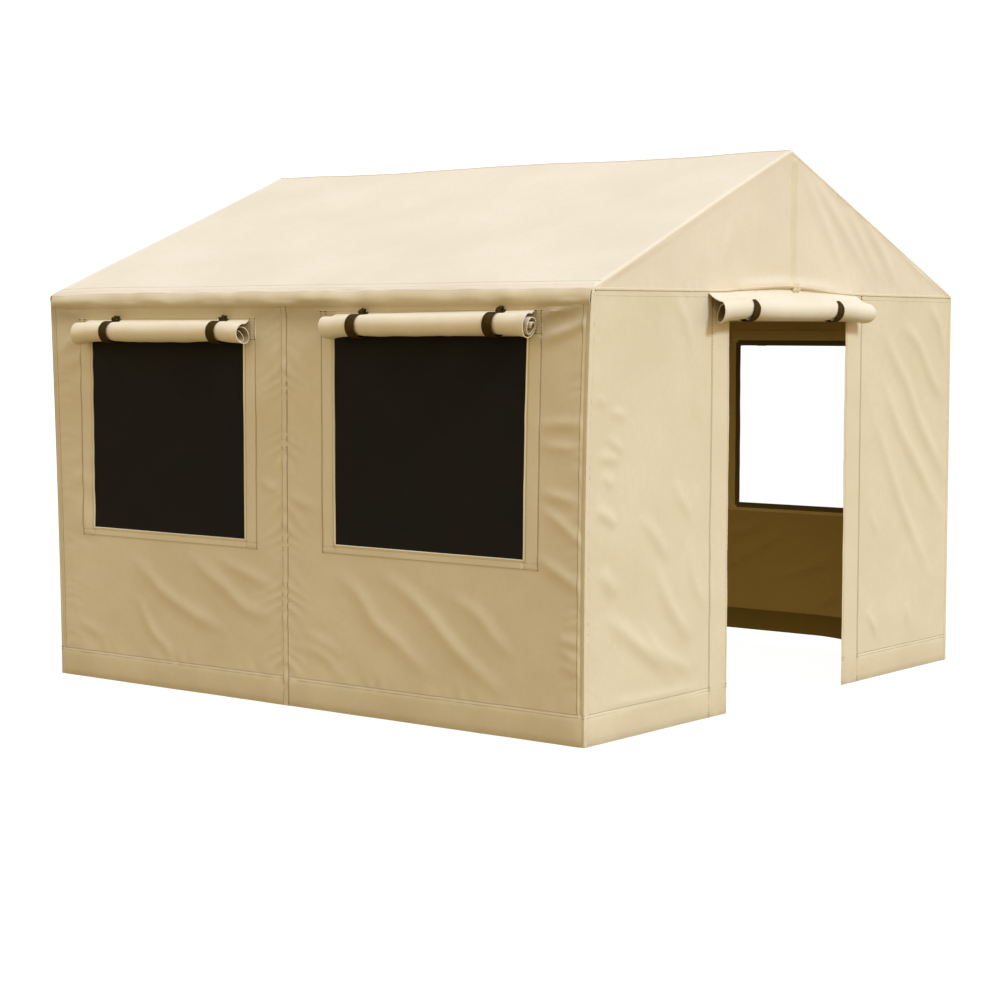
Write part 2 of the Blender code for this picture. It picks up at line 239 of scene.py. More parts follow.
# Folds: width and height in millimetres, then u and v in turn, in centimetres, of the points along
# the shaded side
WINDOW_WALL_FOLDS = [
    (30, 6.0, -108, 59, -93, 49, -83, 42, -62, 33, -42, 28),
    (30, 5.6, -70, 62, -57, 54, -44, 47, -31, 39, -12, 37),
    (26, 4.2, -50, 61, -35, 56, -13, 50),
    (26, 4.6, -104, 42, -100, 36, -93, 25, -85, 19, -76, 13),
    (24, 3.0, -143, 25, -124, 19),
    (34, 6.6, 21, 58, 34, 51, 44, 39, 56, 32, 76, 18),
    (34, 7.0, 46, 59, 60, 54, 73, 45, 81, 38, 92, 29, 114, 14),
    (30, 4.8, 84, 54, 100, 47, 107, 40, 120, 30),
    (24, 3.2, 3, 31, 17, 28, 26, 23),
    (24, 3.2, -2, 26, 15, 23, 25, 14),
    (20, 3.2, -22, 97, -11, 92),
    (22, 3.6, -5, 92, 4, 88, 12, 87),
    (24, 6.0, 131, 125, 155, 126),
    (22, 4.8, 132, 117, 152, 116),
    (22, 5.6, 132, 98.5, 152, 95),
    (22, 5.6, 132, 93, 143, 86, 154, 78),
    (24, 6.0, 129, 73, 143, 66, 154, 60),
    (20, 4.4, 141, 41, 153, 39),
    (20, 4.0, 141, 37, 153, 32),
    (20, 3.6, 142, 31, 153, 28),
    (22, 13.0, 130, 167, 137, 170, 148, 174, 157, 177),
    (22, 11.0, 130, 157, 136, 160, 146, 163, 156, 167),
    (22, 8.0, -153, 175.6, -115, 173.0, -65, 173.8, -30, 176.6),
    (18, 3.0, -27, 170, -16, 176.5),
    (18, 3.0, -2, 177, 20, 171),
    (22, 4.0, -153, 176, -144, 172, -136, 170),
]
END_LEFT_FOLDS = [
    (30, 6.2, -97, 178, -86, 168, -79, 154, -77, 135, -71, 121),
    (24, 4.4, -91, 102, -87, 95, -79, 85),
    (20, 3.6, -139, 121, -132, 117, -126, 114),
    (18, 3.0, -137, 131, -125, 128),
    (18, 3.0, -147, 137, -140, 134),
    (20, 3.6, -142, 106, -133, 101),
    (22, 5.6, -146, 93, -138, 89, -131, 85),
    (20, 3.6, -146, 113, -135, 112, -128, 110),
    (28, 5.0, -115, 88, -107, 81, -100, 74, -94, 69),
    (30, 6.4, -105, 68, -100, 58, -92, 47, -77, 33),
    (26, 5.0, -80, 77, -78, 64, -75, 56, -67, 47),
    (30, 6.4, -143, 68, -138, 63, -132, 57),
    (32, 7.2, -139, 51, -132, 45, -114, 34, -101, 26, -88, 18),
    (28, 5.4, -115, 46, -107, 36, -96, 28, -76, 20),
    (18, 3.4, -140, 14, -106, 13, -67, 13),
]
END_RIGHT_FOLDS = [
    (34, 7.0, 80, 167, 93, 150, 106, 137, 119, 118, 140, 97, 149, 88),
    (30, 5.6, 100, 165, 117, 156, 132, 138, 146, 128),
    (26, 4.4, 128, 175, 139, 164, 145, 149),
    (34, 6.6, 78, 142, 89, 130, 99, 116, 120, 95, 144, 71),
    (34, 6.6, 72, 124, 80, 114, 95, 90, 106, 74, 133, 42),
    (22, 4.0, 73, 79, 79, 67),
    (20, 6.0, 71, 32, 81, 19),
    (22, 3.6, 108, 32, 113, 21),
]
GABLE_FOLDS = [
    (32, 5.6, 5, 236, 29, 208, 49, 184),
    (30, 5.4, 12, 234, 41, 211, 72, 185),
    (30, 5.0, 47, 217, 63, 202, 80, 186),
    (30, 5.0, 61, 214, 80, 199, 95, 183),
    (30, 5.0, 84, 213, 107, 198, 126, 184),
    (26, 4.4, 104, 204, 121, 193, 138, 183),
    (40, 3.6, -42, 214, -53, 186),
    (22, 15.0, -47, 180.3, -15, 182.0, 3, 182.0, 42, 180.1),
]


def in_scene(name, data):
    """A new object in the scene."""
    made = bpy.data.objects.new(name, data)
    bpy.context.scene.collection.objects.link(made)
    return made


def add_camera():
    """The photograph's view."""
    yaw, pitch, roll = (math.radians(angle) for angle in CAMERA_AIM)
    forward = Vector(
        (math.cos(pitch) * math.cos(yaw), math.cos(pitch) * math.sin(yaw), math.sin(pitch))
    )
    level = forward.cross(Vector((0, 0, 1))).normalized()
    upright = level.cross(forward)
    right = level * math.cos(roll) + upright * math.sin(roll)
    up = upright * math.cos(roll) - level * math.sin(roll)
    data = bpy.data.cameras.new("camera")
    data.lens, data.sensor_width, data.sensor_fit = CAMERA_LENS, CAMERA_SENSOR, "HORIZONTAL"
    camera = in_scene("camera", data)
    turn = Matrix((right, up, -forward)).transposed().to_4x4()
    camera.matrix_world = Matrix.Translation(CAMERA_PLACE) @ turn
    bpy.context.scene.camera = camera


# Paths and shapes that cloth takes

def ease(value):
    """0 to 1 with level ends."""
    held = np.clip(value, 0.0, 1.0)
    return held * held * (3 - 2 * held)


def stations(low, high, step, *marks):
    """Places from low to high, at most step apart, that include each mark between them."""
    stops = [low, *sorted(mark for mark in marks if low < mark < high), high]
    places = [low]
    for start, end in zip(stops, stops[1:]):
        count = max(1, math.ceil((end - start) / step))
        places.extend(start + (end - start) * (k + 1) / count for k in range(count))
    return np.array(places)


def row(left, right, v):
    """A level path."""
    return [(left, v), (right, v)]


def column(u, start, end):
    """An upright path."""
    return [(u, start), (u, end)]


def rounded_path(path, step=0.02):
    """A smooth line through the points of a path, in short steps."""
    points = np.array(path, float)
    if len(points) == 2:
        return points
    padded = np.vstack([2 * points[0] - points[1], points, 2 * points[-1] - points[-2]])
    made = []
    for before, start, end, after in zip(padded, padded[1:], padded[2:], padded[3:]):
        count = max(2, math.ceil(np.hypot(*(end - start)) / step))
        bend = 2 * before - 5 * start + 4 * end - after
        twist = 3 * start - before - 3 * end + after
        for share in np.arange(count) / count:
            parts = 2 * start + (end - before) * share + bend * share**2 + twist * share**3
            made.append(0.5 * parts)
    return np.array([*made, points[-1]])


def run_along(path):
    """The length run at each point of a path."""
    return np.concatenate([[0], np.cumsum(np.hypot(*np.diff(path, axis=0).T))])


def path_frame(path, step):
    """Even stations along a path with the direction to its left at each."""
    path = rounded_path(path)
    run = run_along(path)
    at = np.linspace(0, run[-1], max(2, math.ceil(run[-1] / step) + 1))
    places = np.column_stack([np.interp(at, run, path[:, k]) for k in (0, 1)])
    return at, places, left_of(places)


def left_of(places):
    """The direction to the left of a path at each of its points."""
    ahead = np.gradient(places, axis=0)
    ahead /= np.hypot(*ahead.T)[:, None]
    return np.column_stack([-ahead[:, 1], ahead[:, 0]])


def shifted(path, offset):
    """The path moved to its left."""
    _, places, left = path_frame(path, 0.05)
    return places + left * offset


def beside(places, left, offset):
    """Two grids of measures: a row for each place, a column for each distance to its left."""
    spots = places[:, None] + left[:, None] * offset[:, None]
    return spots[..., 0], spots[..., 1]


def paired(first, second):
    """Two grids as one grid of pairs."""
    return np.stack(np.broadcast_arrays(first, second), axis=-1)


def beside_path(path, u, v):
    """Distance from a path, signed plus on its upper or right side, and the share along it."""
    steps = np.diff(path, axis=0)
    lengths = np.hypot(*steps.T)
    total, run = lengths.sum(), 0.0
    nearest, side, share = np.full(u.shape, 1e9), np.zeros(u.shape), np.zeros(u.shape)
    for (start_u, start_v), (step_u, step_v), length in zip(path, steps, lengths):
        along = ((u - start_u) * step_u + (v - start_v) * step_v) / length**2
        along = np.clip(along, 0, 1)
        off_u, off_v = u - start_u - along * step_u, v - start_v - along * step_v
        gap = np.hypot(off_u, off_v)
        closer = gap < nearest
        nearest = np.where(closer, gap, nearest)
        upper = np.sign((off_u * -step_v + off_v * step_u) * (1 if step_u > 0 else -1))
        side = np.where(closer, upper, side)
        share = np.where(closer, (run + along * length) / total, share)
        run += length
    return nearest * side, share


class Fold:
    """A rounded ridge in the cloth, from a row of the tables of folds."""

    def __init__(self, rise, width, height, *places):
        self.width, self.height = width / 1000 * FOLD_SPREAD, height / 1000 * rise
        self.path = rounded_path(np.reshape(places, (-1, 2)) / 100, 0.06)

    def at(self, u, v):
        out = np.zeros(u.shape)
        reach = 4 * self.width
        low, high = self.path.min(axis=0) - reach, self.path.max(axis=0) + reach
        near = (u > low[0]) & (u < high[0]) & (v > low[1]) & (v < high[1])
        if near.any():
            gap, share = beside_path(self.path, u[near], v[near])
            across = gap / self.width - FOLD_CREST
            ridge = 1.25 * np.exp(-(across**2)) - 0.25 * np.exp(-((across / 2.2) ** 2))
            taper = np.clip(np.sin(math.pi * share), 0, 1) ** 0.8
            out[near] = self.height * ridge * taper
        return out


class Puckers:
    """Small ripples that cross a seam from start to end and die out beside it."""

    def __init__(self, start, end, reach, spacing, height, slant):
        self.start, self.end = np.array(start, float), np.array(end, float)
        self.reach, self.spacing, self.height, self.slant = reach, spacing, height, slant

    def at(self, u, v):
        way = self.end - self.start
        length = np.hypot(*way)
        way = way / length
        along = (u - self.start[0]) * way[0] + (v - self.start[1]) * way[1]
        across = (u - self.start[0]) * way[1] - (v - self.start[1]) * way[0]
        turn = 2 * math.pi / self.spacing
        wander = 0.3 * self.spacing * np.sin(along * turn / 3.7 + 1)
        wave = np.sin((along + self.slant * np.abs(across) + wander) * turn)
        strength = 0.6 + 0.4 * np.sin(along * turn / 5.3)
        ends = ease(along / 0.05) * ease((length - along) / 0.05)
        return self.height * wave * strength * ends * np.exp(-((across / self.reach) ** 2))


class Waves:
    """A smooth random field, a sum of plane waves that is the same each run."""

    def __init__(self, seed, shortest, longest, height, count=18):
        random = np.random.default_rng(seed)
        length = np.exp(random.uniform(math.log(shortest), math.log(longest), count))
        angle = random.uniform(0, math.pi, count)
        self.turn_u = 2 * math.pi * np.cos(angle) / length
        self.turn_v = 2 * math.pi * np.sin(angle) / length
        self.phase = random.uniform(0, 2 * math.pi, count)
        self.weight = height * math.sqrt(2 / count) * (length / longest) ** 0.6

    def at(self, u, v):
        waves = zip(self.weight, self.turn_u, self.turn_v, self.phase)
        return sum(weight * np.sin(across * u + up * v + phase) for weight, across, up, phase in waves)


def mirrored(folds):
    """The same folds seen in a mirror."""
    turned = []
    for width, height, *places in folds:
        points = np.reshape(places, (-1, 2))[::-1] * (-1, 1)
        turned.append((width, height, *points.ravel()))
    return turned


# Surfaces

def settled(x, y, z):
    """Points with the cloth's small leans off the frame: two eave corners stand out from the posts."""
    height = np.clip(z / EAVE_HEIGHT, 0, 1)
    front = ease((-0.3 - y) / 1.2)
    near = ease((x - 0.4) / 0.8) * front * height**3
    far = ease((-1.28 - x) / 0.25) * front * height**1.5
    left, forth, down = (lean * far for lean in FAR_LEAN)
    return np.stack([x + NEAR_LEAN * near - left, y - forth, z - down * height**4], axis=-1)


def under_roof(u):
    """Height of an end wall's top edge."""
    return END_PEAK - np.abs(u) * math.tan(PITCH)


class Surface:
    """A side of the tent or its roof, with its folds and other shapes."""

    def point(self, u, v, lift=0.0):
        u, v, lift = np.broadcast_arrays(np.asarray(u, float), np.asarray(v, float), lift)
        return self.place(u, v, self.relief(u, v) + lift)

    def shaped(self, u, v):
        return sum(shape.at(u, v) for shape in self.shapes)


class Wall(Surface):
    """One side of the tent, turned from the front by an angle in degrees."""

    def __init__(self, turn, shapes, lifted=None):
        self.cos, self.sin = round(math.cos(math.radians(turn))), round(math.sin(math.radians(turn)))
        self.gabled = turn % 180 == 90
        sizes = (HALF_LENGTH, END_HALF_WIDTH) if self.gabled else (HALF_WIDTH, HALF_LENGTH)
        self.distance, self.half_width = sizes
        self.shapes, self.lifted = shapes, lifted

    def span(self, node):
        """How far a node reaches across this side, and how far up it."""
        low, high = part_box(node)
        reach = [self.cos * x + self.sin * y for x in (low.x, high.x) for y in (low.y, high.y)]
        return (min(reach), max(reach)), (low.z, high.z)

    def hold(self, u, v):
        """1 where the cloth is free, and 0 where the frame and the roof hold it."""
        side = self.half_width - np.abs(u)
        above = under_roof(u) - v - 0.004 if self.gabled else SKIRT_FOOT - v
        return ease(side / HOLD_EDGE) * ease(above / HOLD_EDGE)

    def flare(self, u, v):
        """How far a long wall's top leans out to meet the roof's edge."""
        if self.gabled:
            return np.zeros(np.shape(u))
        lean = np.clip((v - SKIRT_FOOT + 0.067) / 0.067, 0, 1) ** 2
        return EAVE_FLARE * lean * ease((self.half_width - np.abs(u) - 0.01) / 0.07)

    def relief(self, u, v):
        """How far the cloth stands out from the model's surface."""
        out = self.shaped(u, v) * self.hold(u, v)
        out = np.maximum(out, -0.001 - 0.006 * ease(v / 0.3))
        if self.gabled:
            return out + RAKE_FLARE * (1 - ease((under_roof(u) - v - 0.008) / 0.03))
        side = self.half_width - np.abs(u)
        past = np.clip(1 - side / CORNER_ROUND, 0, 1)
        out = out - CORNER_SINK * (1 - np.sqrt(1 - past**2))
        groove = np.exp(-(((side - GROOVE_INSET) / GROOVE_WIDTH) ** 2))
        out = out - GROOVE_DEPTH * groove * (1 - ease((v - 1.68) / 0.05))
        return out + self.flare(u, v)

    def foot_rise(self, u):
        """How far the hem hangs clear of the ground where the cloth is slack."""
        start, full_start, full_end, end, height = self.lifted
        return height * ease((u - start) / (full_start - start)) * ease((end - u) / (end - full_end))

    def place(self, u, v, out):
        """Points in the tent's frame, none of them below the ground."""
        back, v = -(self.distance + out), np.maximum(v, 0.0)
        if self.lifted:
            v = v + self.foot_rise(u) * np.clip(1 - v / 0.6, 0, 1) ** 2
        return settled(self.cos * u - self.sin * back, self.sin * u + self.cos * back, v)


def facing(turn):
    """The direction at an angle from upright."""
    return np.array([math.sin(turn), math.cos(turn)])


def arc(centre, radius, start, turn, count):
    """Rows of a place round an arc and the direction out of it."""
    outs = [facing(start + turn * share) for share in np.linspace(0, 1, count)]
    return [(centre + radius * out, out) for out in outs]


class Roof(Surface):
    """Both slopes as one sheet that is rounded over the ridge and turned down at its edges."""

    def __init__(self, shapes):
        self.shapes = shapes
        self.lumps = Waves(43, 0.08, 0.5, 0.0048)
        self.flat_u = HALF_LENGTH + ROOF_LIFT - RAKE_ROUND
        self.profile, self.eave = self.make_profile()
        self.half = self.profile[-1, 0]

    def make_profile(self):
        """Rows of length from the ridge, distance, height and direction out, and the eave's length."""
        slope, down = facing(PITCH), np.array([math.cos(PITCH), -math.sin(PITCH)])
        ridge = np.array([0.0, RIDGE_HEIGHT + ROOF_LIFT / math.cos(PITCH)])
        rows = arc(ridge - [0, RIDGE_ROUND / math.cos(PITCH)], RIDGE_ROUND, 0.0, PITCH, 5)
        corner = ridge + down * ((HALF_WIDTH + EAVE_REACH) / math.cos(PITCH))
        turned = math.pi / 2 - PITCH
        centre = corner - down * (EAVE_ROUND * math.tan(turned / 2)) - slope * EAVE_ROUND
        start, end = rows[-1][0], centre + slope * EAVE_ROUND
        rows += [(start + (end - start) * share, slope) for share in np.linspace(0, 1, 64)[1:-1]]
        eave_row = len(rows)
        rows += arc(centre, EAVE_ROUND, PITCH, turned + EAVE_UNDER, 14)
        foot, out = rows[-1]
        rows += [(foot - facing(EAVE_UNDER) * EAVE_SKIRT * share, out) for share in (0.33, 0.67, 1.0)]
        places, outs = (np.array(parts) for parts in zip(*rows))
        length = run_along(places)
        return np.column_stack([length, places, outs]), length[eave_row]

    def relief(self, u, v):
        """The sag between the frame's tubes, and small unevenness."""
        span = np.abs(u) / (HALF_LENGTH - 0.05)
        bays = 0.82 * (1 - np.clip(span, 0, 1) ** 2) + 0.18 * np.sin(2 * math.pi * span) ** 2
        two_bays = np.sin(math.pi * np.clip(span, 0, 1)) ** 2
        share = np.clip(np.abs(v) / self.eave, 0, 1)
        sag = -SLOPE_SAG * bays * np.sin(math.pi * share) - RIDGE_SAG * two_bays * (1 - share) ** 3
        inner = ease((self.flat_u - np.abs(u)) / 0.06)
        slope = self.shaped(u, v) * ease((self.eave - np.abs(v)) / 0.06)
        past = np.abs(v) - self.eave
        clear = self.half - np.abs(v) - 0.014
        skirt = self.lumps.at(u, v) * ease(past / 0.02) * ease(clear / 0.02)
        tuck = CORNER_TUCK * (1 - ease((self.flat_u - np.abs(u)) / 0.10)) * ease(past / 0.05)
        return sag + inner * (slope + skirt) - tuck

    def place(self, u, v, over):
        length = np.abs(v)
        columns = [np.interp(length, self.profile[:, 0], self.profile[:, k]) for k in range(1, 5)]
        far, high, out_far, out_high = columns
        past = np.abs(u) - self.flat_u
        turn = np.clip(past / RAKE_ROUND, 0, math.pi / 2)
        bent = np.where(past > 0, RAKE_ROUND * np.sin(turn), past)
        skirt = np.clip(past - RAKE_ROUND * math.pi / 2, 0, None)
        drop = np.where(past > 0, RAKE_ROUND * (1 - np.cos(turn)) + skirt, 0)
        rise = over * np.cos(turn) - drop
        x = np.sign(u) * (self.flat_u + bent + over * np.sin(turn))
        return settled(x, np.sign(v) * (far + out_far * rise), high + out_high * rise)


# Pieces from points

def grid_faces(rows, columns, keep=None, flip=False):
    """Quads between neighbouring points of a grid, in reading order."""
    index = np.arange(rows * columns).reshape(rows, columns)
    corners = [index[:-1, :-1], index[:-1, 1:], index[1:, 1:], index[1:, :-1]]
    faces = np.stack(corners[::-1] if flip else corners, axis=-1)
    return faces[keep] if keep is not None else faces.reshape(-1, 4)


class Cloth:
    """The points, faces and flat places of the sheets that make one piece."""

    def __init__(self):
        self.points, self.faces, self.flat, self.slots = [], [], [], []
        self.count = 0

    def add(self, points, faces, flat, slot=0):
        points = np.asarray(points, float).reshape(-1, 3)
        self.points.append(points)
        self.flat.append(np.asarray(flat, float).reshape(-1, 2))
        self.faces.extend((faces + self.count).tolist())
        self.slots.extend(np.broadcast_to(slot, len(faces)).tolist())
        self.count += len(points)

    def grid(self, surface, u, v, lift=0.0, keep=None, slot=0):
        """A sheet on a surface from grids of u and v."""
        self.add(surface.point(u, v, lift), grid_faces(*u.shape, keep=keep), paired(u, v), slot)

    def build(self, name, *materials, thickness=0.0, sharp=40):
        """The piece, riding on the tent's one body."""
        points, flat = np.concatenate(self.points), np.concatenate(self.flat)
        used = sorted({corner for face in self.faces for corner in face})
        renumber = {old: new for new, old in enumerate(used)}
        faces = [tuple(renumber[corner] for corner in face) for face in self.faces]
        mesh = bpy.data.meshes.new(name)
        mesh.from_pydata(points[used].tolist(), [], faces)
        mesh.polygons.foreach_set("material_index", self.slots)
        layer = mesh.uv_layers.new(name=FLAT_MAP)
        corners = np.empty(len(mesh.loops), np.int32)
        mesh.loops.foreach_get("vertex_index", corners)
        layer.data.foreach_set("uv", flat[used][corners].astype(np.float32).ravel())
        for material in materials:
            mesh.materials.append(MATERIALS[material])
        piece = in_scene(name, mesh)
        if thickness:
            thicken(piece, thickness)
        piece.data.shade_smooth()
        piece.data.set_sharp_from_angle(angle=math.radians(sharp))
        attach(piece, "root")
        return piece


def thicken(piece, thickness):
    """Gives a sheet its thickness, and the next material to its inner face."""
    step = piece.modifiers.new("thickness", "SOLIDIFY")
    step.thickness, step.offset, step.material_offset = thickness, -1, 1
    graph = bpy.context.evaluated_depsgraph_get()
    mesh = bpy.data.meshes.new_from_object(piece.evaluated_get(graph))
    piece.modifiers.clear()
    piece.data = mesh


def ribbon(cloth, surface, path, width, lift=STRIP_LIFT, puff=0.0006, bow=0.0):
    """A strip sewn on along a path, its edges turned down to the cloth and its middle bowed out."""
    at, places, left = path_frame(path, 0.02)
    at = np.concatenate([[at[0]], at[:1] + STRIP_EDGE, at[1:-1], at[-1:] - STRIP_EDGE, [at[-1]]])
    ends = [0, 0, *range(1, len(places) - 1), -1, -1]
    middle, left = places[ends], left[ends]
    ahead = np.column_stack([left[:, 1], -left[:, 0]])
    middle[1] += ahead[1] * STRIP_EDGE
    middle[-2] -= ahead[-2] * STRIP_EDGE
    edge = min(STRIP_EDGE, width / 6)
    across = np.array([0, edge, width / 4, width / 2, width * 3 / 4, width - edge, width])
    inner = np.clip(np.minimum(across, width - across) / edge, 0, 1)
    level = lift * np.minimum(1, across / edge) * np.minimum(1, (width - across) / edge)
    level += puff * np.sin(math.pi * across / width)
    level[[0, -1]] = -0.0004
    lifts = np.tile(level, (len(middle), 1))
    lifts[[0, -1]] = -0.0004
    lifts = lifts + bow * np.sin(math.pi * at / at[-1])[:, None] * inner
    offset = width / 2 - across
    u, v = beside(middle, left, offset)
    flat = paired(at[:, None], offset)
    cloth.add(surface.point(u, v, lifts), grid_faces(*u.shape, flip=True), flat)


def stitch_row(cloth, surface, path, lift):
    """Thread stitches along a path, each a small low bead."""
    at, places, left = path_frame(path, STITCH_PITCH)
    ahead = np.column_stack([left[:, 1], -left[:, 0]])
    half, side = STITCH_LENGTH / 2, STITCH_WIDTH / 2
    corners = [(-half, 0, 0.0), (half, 0, 0.0), (0, side, 0.0002), (0, -side, 0.0002)]
    corners += [(0, 0, STITCH_HEIGHT), (0, 0, -0.0006)]
    rows = []
    for forth, sideways, height in corners:
        spot = places + ahead * forth + left * sideways
        rows.append(surface.point(spot[:, 0], spot[:, 1], np.full(len(spot), lift + height)))
    back, front, port, starboard, top, foot = range(6)
    turns = [(back, starboard), (starboard, front), (front, port), (port, back)]
    faces = [(a, b, top) for a, b in turns] + [(b, a, foot) for a, b in turns]
    index = np.arange(len(places))[:, None, None] * 6 + np.array(faces)[None]
    flat = np.repeat(np.column_stack([at, np.zeros(len(at))]), 6, axis=0)
    cloth.add(np.stack(rows, axis=1), index.reshape(-1, 3), flat)


class Sewing:
    """What is sewn on a surface: strips in one piece and stitches in another."""

    def __init__(self, surface):
        self.surface, self.strips, self.thread = surface, Cloth(), Cloth()

    def strip(self, path, width, **shape):
        ribbon(self.strips, self.surface, path, width, **shape)

    def stitch(self, path, lift=STRIP_LIFT):
        stitch_row(self.thread, self.surface, path, lift)

    def hem(self, left, right):
        """The hem along the ground with its two rows of stitches."""
        self.strip(row(left, right, HEM_HEIGHT / 2), HEM_HEIGHT)
        for side in (-1, 1):
            self.stitch(shifted(row(left, right, HEM_HEIGHT - HEM_INSET), side * ROW_GAP / 2))

    def window(self, hole):
        """The strips round a window, their stitches, and the small square at each lower corner."""
        for path, width in window_strips(hole):
            self.strip(path, width)
        (left, right), (low, high) = hole
        foot = low - SURROUND_FOOT + STRIP_INSET
        for edge, way in ((left, -1), (right, 1)):
            near, far = edge + way * 0.010, edge + way * (SURROUND_SIDE - STRIP_INSET)
            self.stitch(column(near, low, high))
            for place in (far, far + way * 0.0036):
                self.stitch(column(place, foot, high))
            self.stitch(row(near, far, foot))
            self.stitch(row(near, far, low - HEM_INSET))
        self.stitch(row(left, right, foot))
        self.stitch(row(left, right, low - HEM_INSET))

    def build(self, name, trim, prefix="strips_", thread="thread"):
        strips = self.strips.build(prefix + name, trim)
        return [strips, self.thread.build("stitches_" + name, thread, sharp=SEWN_SHARP)]


# Materials

FLAT_MAP = "metres"
MATERIALS = {}


class Nodes:
    """A tree of shader nodes."""

    def __init__(self, tree):
        self.tree = tree

    def add(self, kind, values=None, **settings):
        """A node with its settings, and its inputs by name or number: a value, or what feeds it."""
        made = self.tree.nodes.new("ShaderNode" + kind)
        for name, value in settings.items():
            setattr(made, name, value)
        for name, value in (values or {}).items():
            self.feed(made.inputs[name], value)
        return made

    def feed(self, socket, value):
        if isinstance(value, bpy.types.Node):
            value = value.outputs[0]
        if isinstance(value, bpy.types.NodeSocket):
            self.tree.links.new(value, socket)
        else:
            socket.default_value = value

    def sum(self, first, second, operation="ADD"):
        return self.add("Math", {0: first, 1: second}, operation=operation)

    def times(self, first, second):
        return self.sum(first, second, "MULTIPLY")

    def split(self, place):
        return self.add("SeparateXYZ", {0: place}).outputs

    def ripples(self, measure, length):
        """Waves of a length along a measure."""
        return self.add("Math", {0: self.times(measure, 2 * math.pi / length)}, operation="SINE")

    def noise(self, place, scale, detail=2.0, roughness=0.5):
        values = {"Vector": place, "Scale": scale, "Detail": detail, "Roughness": roughness}
        return self.add("TexNoise", values).outputs["Fac"]

    def streaks(self, place, across, along):
        """Noise drawn out along one way."""
        stretched = self.add("Mapping", {"Vector": place, "Scale": (across, along, 1)})
        return self.noise(stretched.outputs[0], 1.0, 1.0)

    def mixed(self, share, first, second, blend="MIX"):
        values = {"Factor": share, 6: first, 7: second}
        return self.add("Mix", values, data_type="RGBA", blend_type=blend).outputs[2]

    def ramp(self, value, low, high):
        """The value from low to high made 0 to 1."""
        values = {"Value": value, "From Min": low, "From Max": high}
        return self.add("MapRange", values, clamp=True).outputs[0]

    def between(self, value, low, high):
        """The value from 0 to 1 made low to high."""
        return self.add("MapRange", {"Value": value, "To Min": low, "To Max": high})

    def colours(self, value, stops):
        """Colours by a value, from stops that begin at 0 and end at 1."""
        made = self.add("ValToRGB", {"Fac": value})
        elements = made.color_ramp.elements
        elements[0].color, elements[1].color = stops[0][1], stops[-1][1]
        for place, colour in stops[1:-1]:
            elements.new(place).color = colour
        return made


class Shader(Nodes):
    """A new material's nodes."""

    def __init__(self, name):
        material = bpy.data.materials.new(name)
        material.use_nodes = True
        super().__init__(material.node_tree)
        self.surface = self.tree.nodes["Principled BSDF"]
        self.flat = self.add("UVMap", uv_map=FLAT_MAP)
        self.tent = self.add("TexCoord").outputs["Object"]
        MATERIALS[name] = material

    def set(self, **values):
        for name, value in values.items():
            self.feed(self.surface.inputs[name.replace("_", " ")], value)

    def bump(self, height, strength, distance):
        values = {"Height": height, "Strength": strength, "Distance": distance}
        self.set(Normal=self.add("Bump", values))

    def patches(self, scale, detail, low, high, roughness=0.5):
        """Noise over the tent from 0 to 1, which leaves out what is under low or over high."""
        return self.ramp(self.noise(self.tent, scale, detail, roughness), low, high)


def linear(*colour):
    """A colour of 0 to 255 as the shader wants it."""
    parts = [part / 255 for part in colour]
    parts = [part / 12.92 if part < 0.0431 else ((part + 0.055) / 1.055) ** 2.4 for part in parts]
    return (*parts, 1.0)


def scaled(colour, *shares):
    """A colour made lighter or darker by one share, or tinted by three."""
    shares = shares * 3 if len(shares) == 1 else shares
    return (*[part * share for part, share in zip(colour, shares)], 1.0)


def painted_shade_under_eave(shader, base):
    """The cloth's colour with painted shade: browner and darker just under the roof's edge."""
    low, high = EAVE_PAINTED_SHADE[0][0], EAVE_PAINTED_SHADE[-1][0]
    stops = [((place - low) / (high - low), colour) for place, colour in EAVE_PAINTED_SHADE]
    height = shader.ramp(shader.split(shader.tent)[2], low, high)
    return shader.mixed(1.0, base, shader.colours(height, stops), "MULTIPLY")


def canvas_material(name, colour, thread=0.0015, soil=0.0, eave_painted_shade=False):
    """Woven cotton duck: threads that cross, slubs, faint blotches, soil low down, and where asked
    painted shade under the roof's edge.
    """
    shader = Shader(name)
    flat, tent = shader.flat, shader.tent
    split = shader.split(flat)
    weave = shader.times(shader.ripples(split[0], thread), shader.ripples(split[1], thread))
    slubs = shader.sum(shader.streaks(flat, 14.0, 520.0), shader.streaks(flat, 480.0, 11.0))
    blotch = shader.patches(2.4, 4.0, 0.32, 0.68)
    base = shader.mixed(blotch, scaled(colour, 0.955, 0.945, 0.92), scaled(colour, 1.03))
    speck = shader.times(shader.patches(38.0, 3.0, 0.35, 0.65), 0.25)
    base = shader.mixed(speck, base, scaled(colour, 0.90, 0.88, 0.84))
    thready = shader.times(shader.ramp(slubs, 0.75, 1.25), 0.16)
    base = shader.mixed(thready, base, scaled(colour, 1.08, 1.08, 1.10))
    if soil:
        uneven = shader.times(shader.noise(tent, 7.0, 4.0), 0.12)
        low = shader.ramp(shader.sum(shader.split(tent)[2], uneven, "SUBTRACT"), 0.07, -0.07)
        base = shader.mixed(shader.times(low, soil), base, scaled(colour, 0.62, 0.55, 0.45))
    # painted shade: the long walls' cloth darkens just under the roof's edge
    if eave_painted_shade:
        base = painted_shade_under_eave(shader, base)
    relief = shader.sum(shader.times(weave, 0.35), slubs)
    relief = shader.sum(relief, shader.times(shader.noise(tent, 900.0, 2.0), 0.5))
    shader.bump(relief, 0.35, 0.0005)
    shader.set(Base_Color=base, Roughness=shader.between(slubs, 0.80, 0.94))
    shader.set(Specular_IOR_Level=0.25, Sheen_Weight=0.12, Sheen_Roughness=0.5)


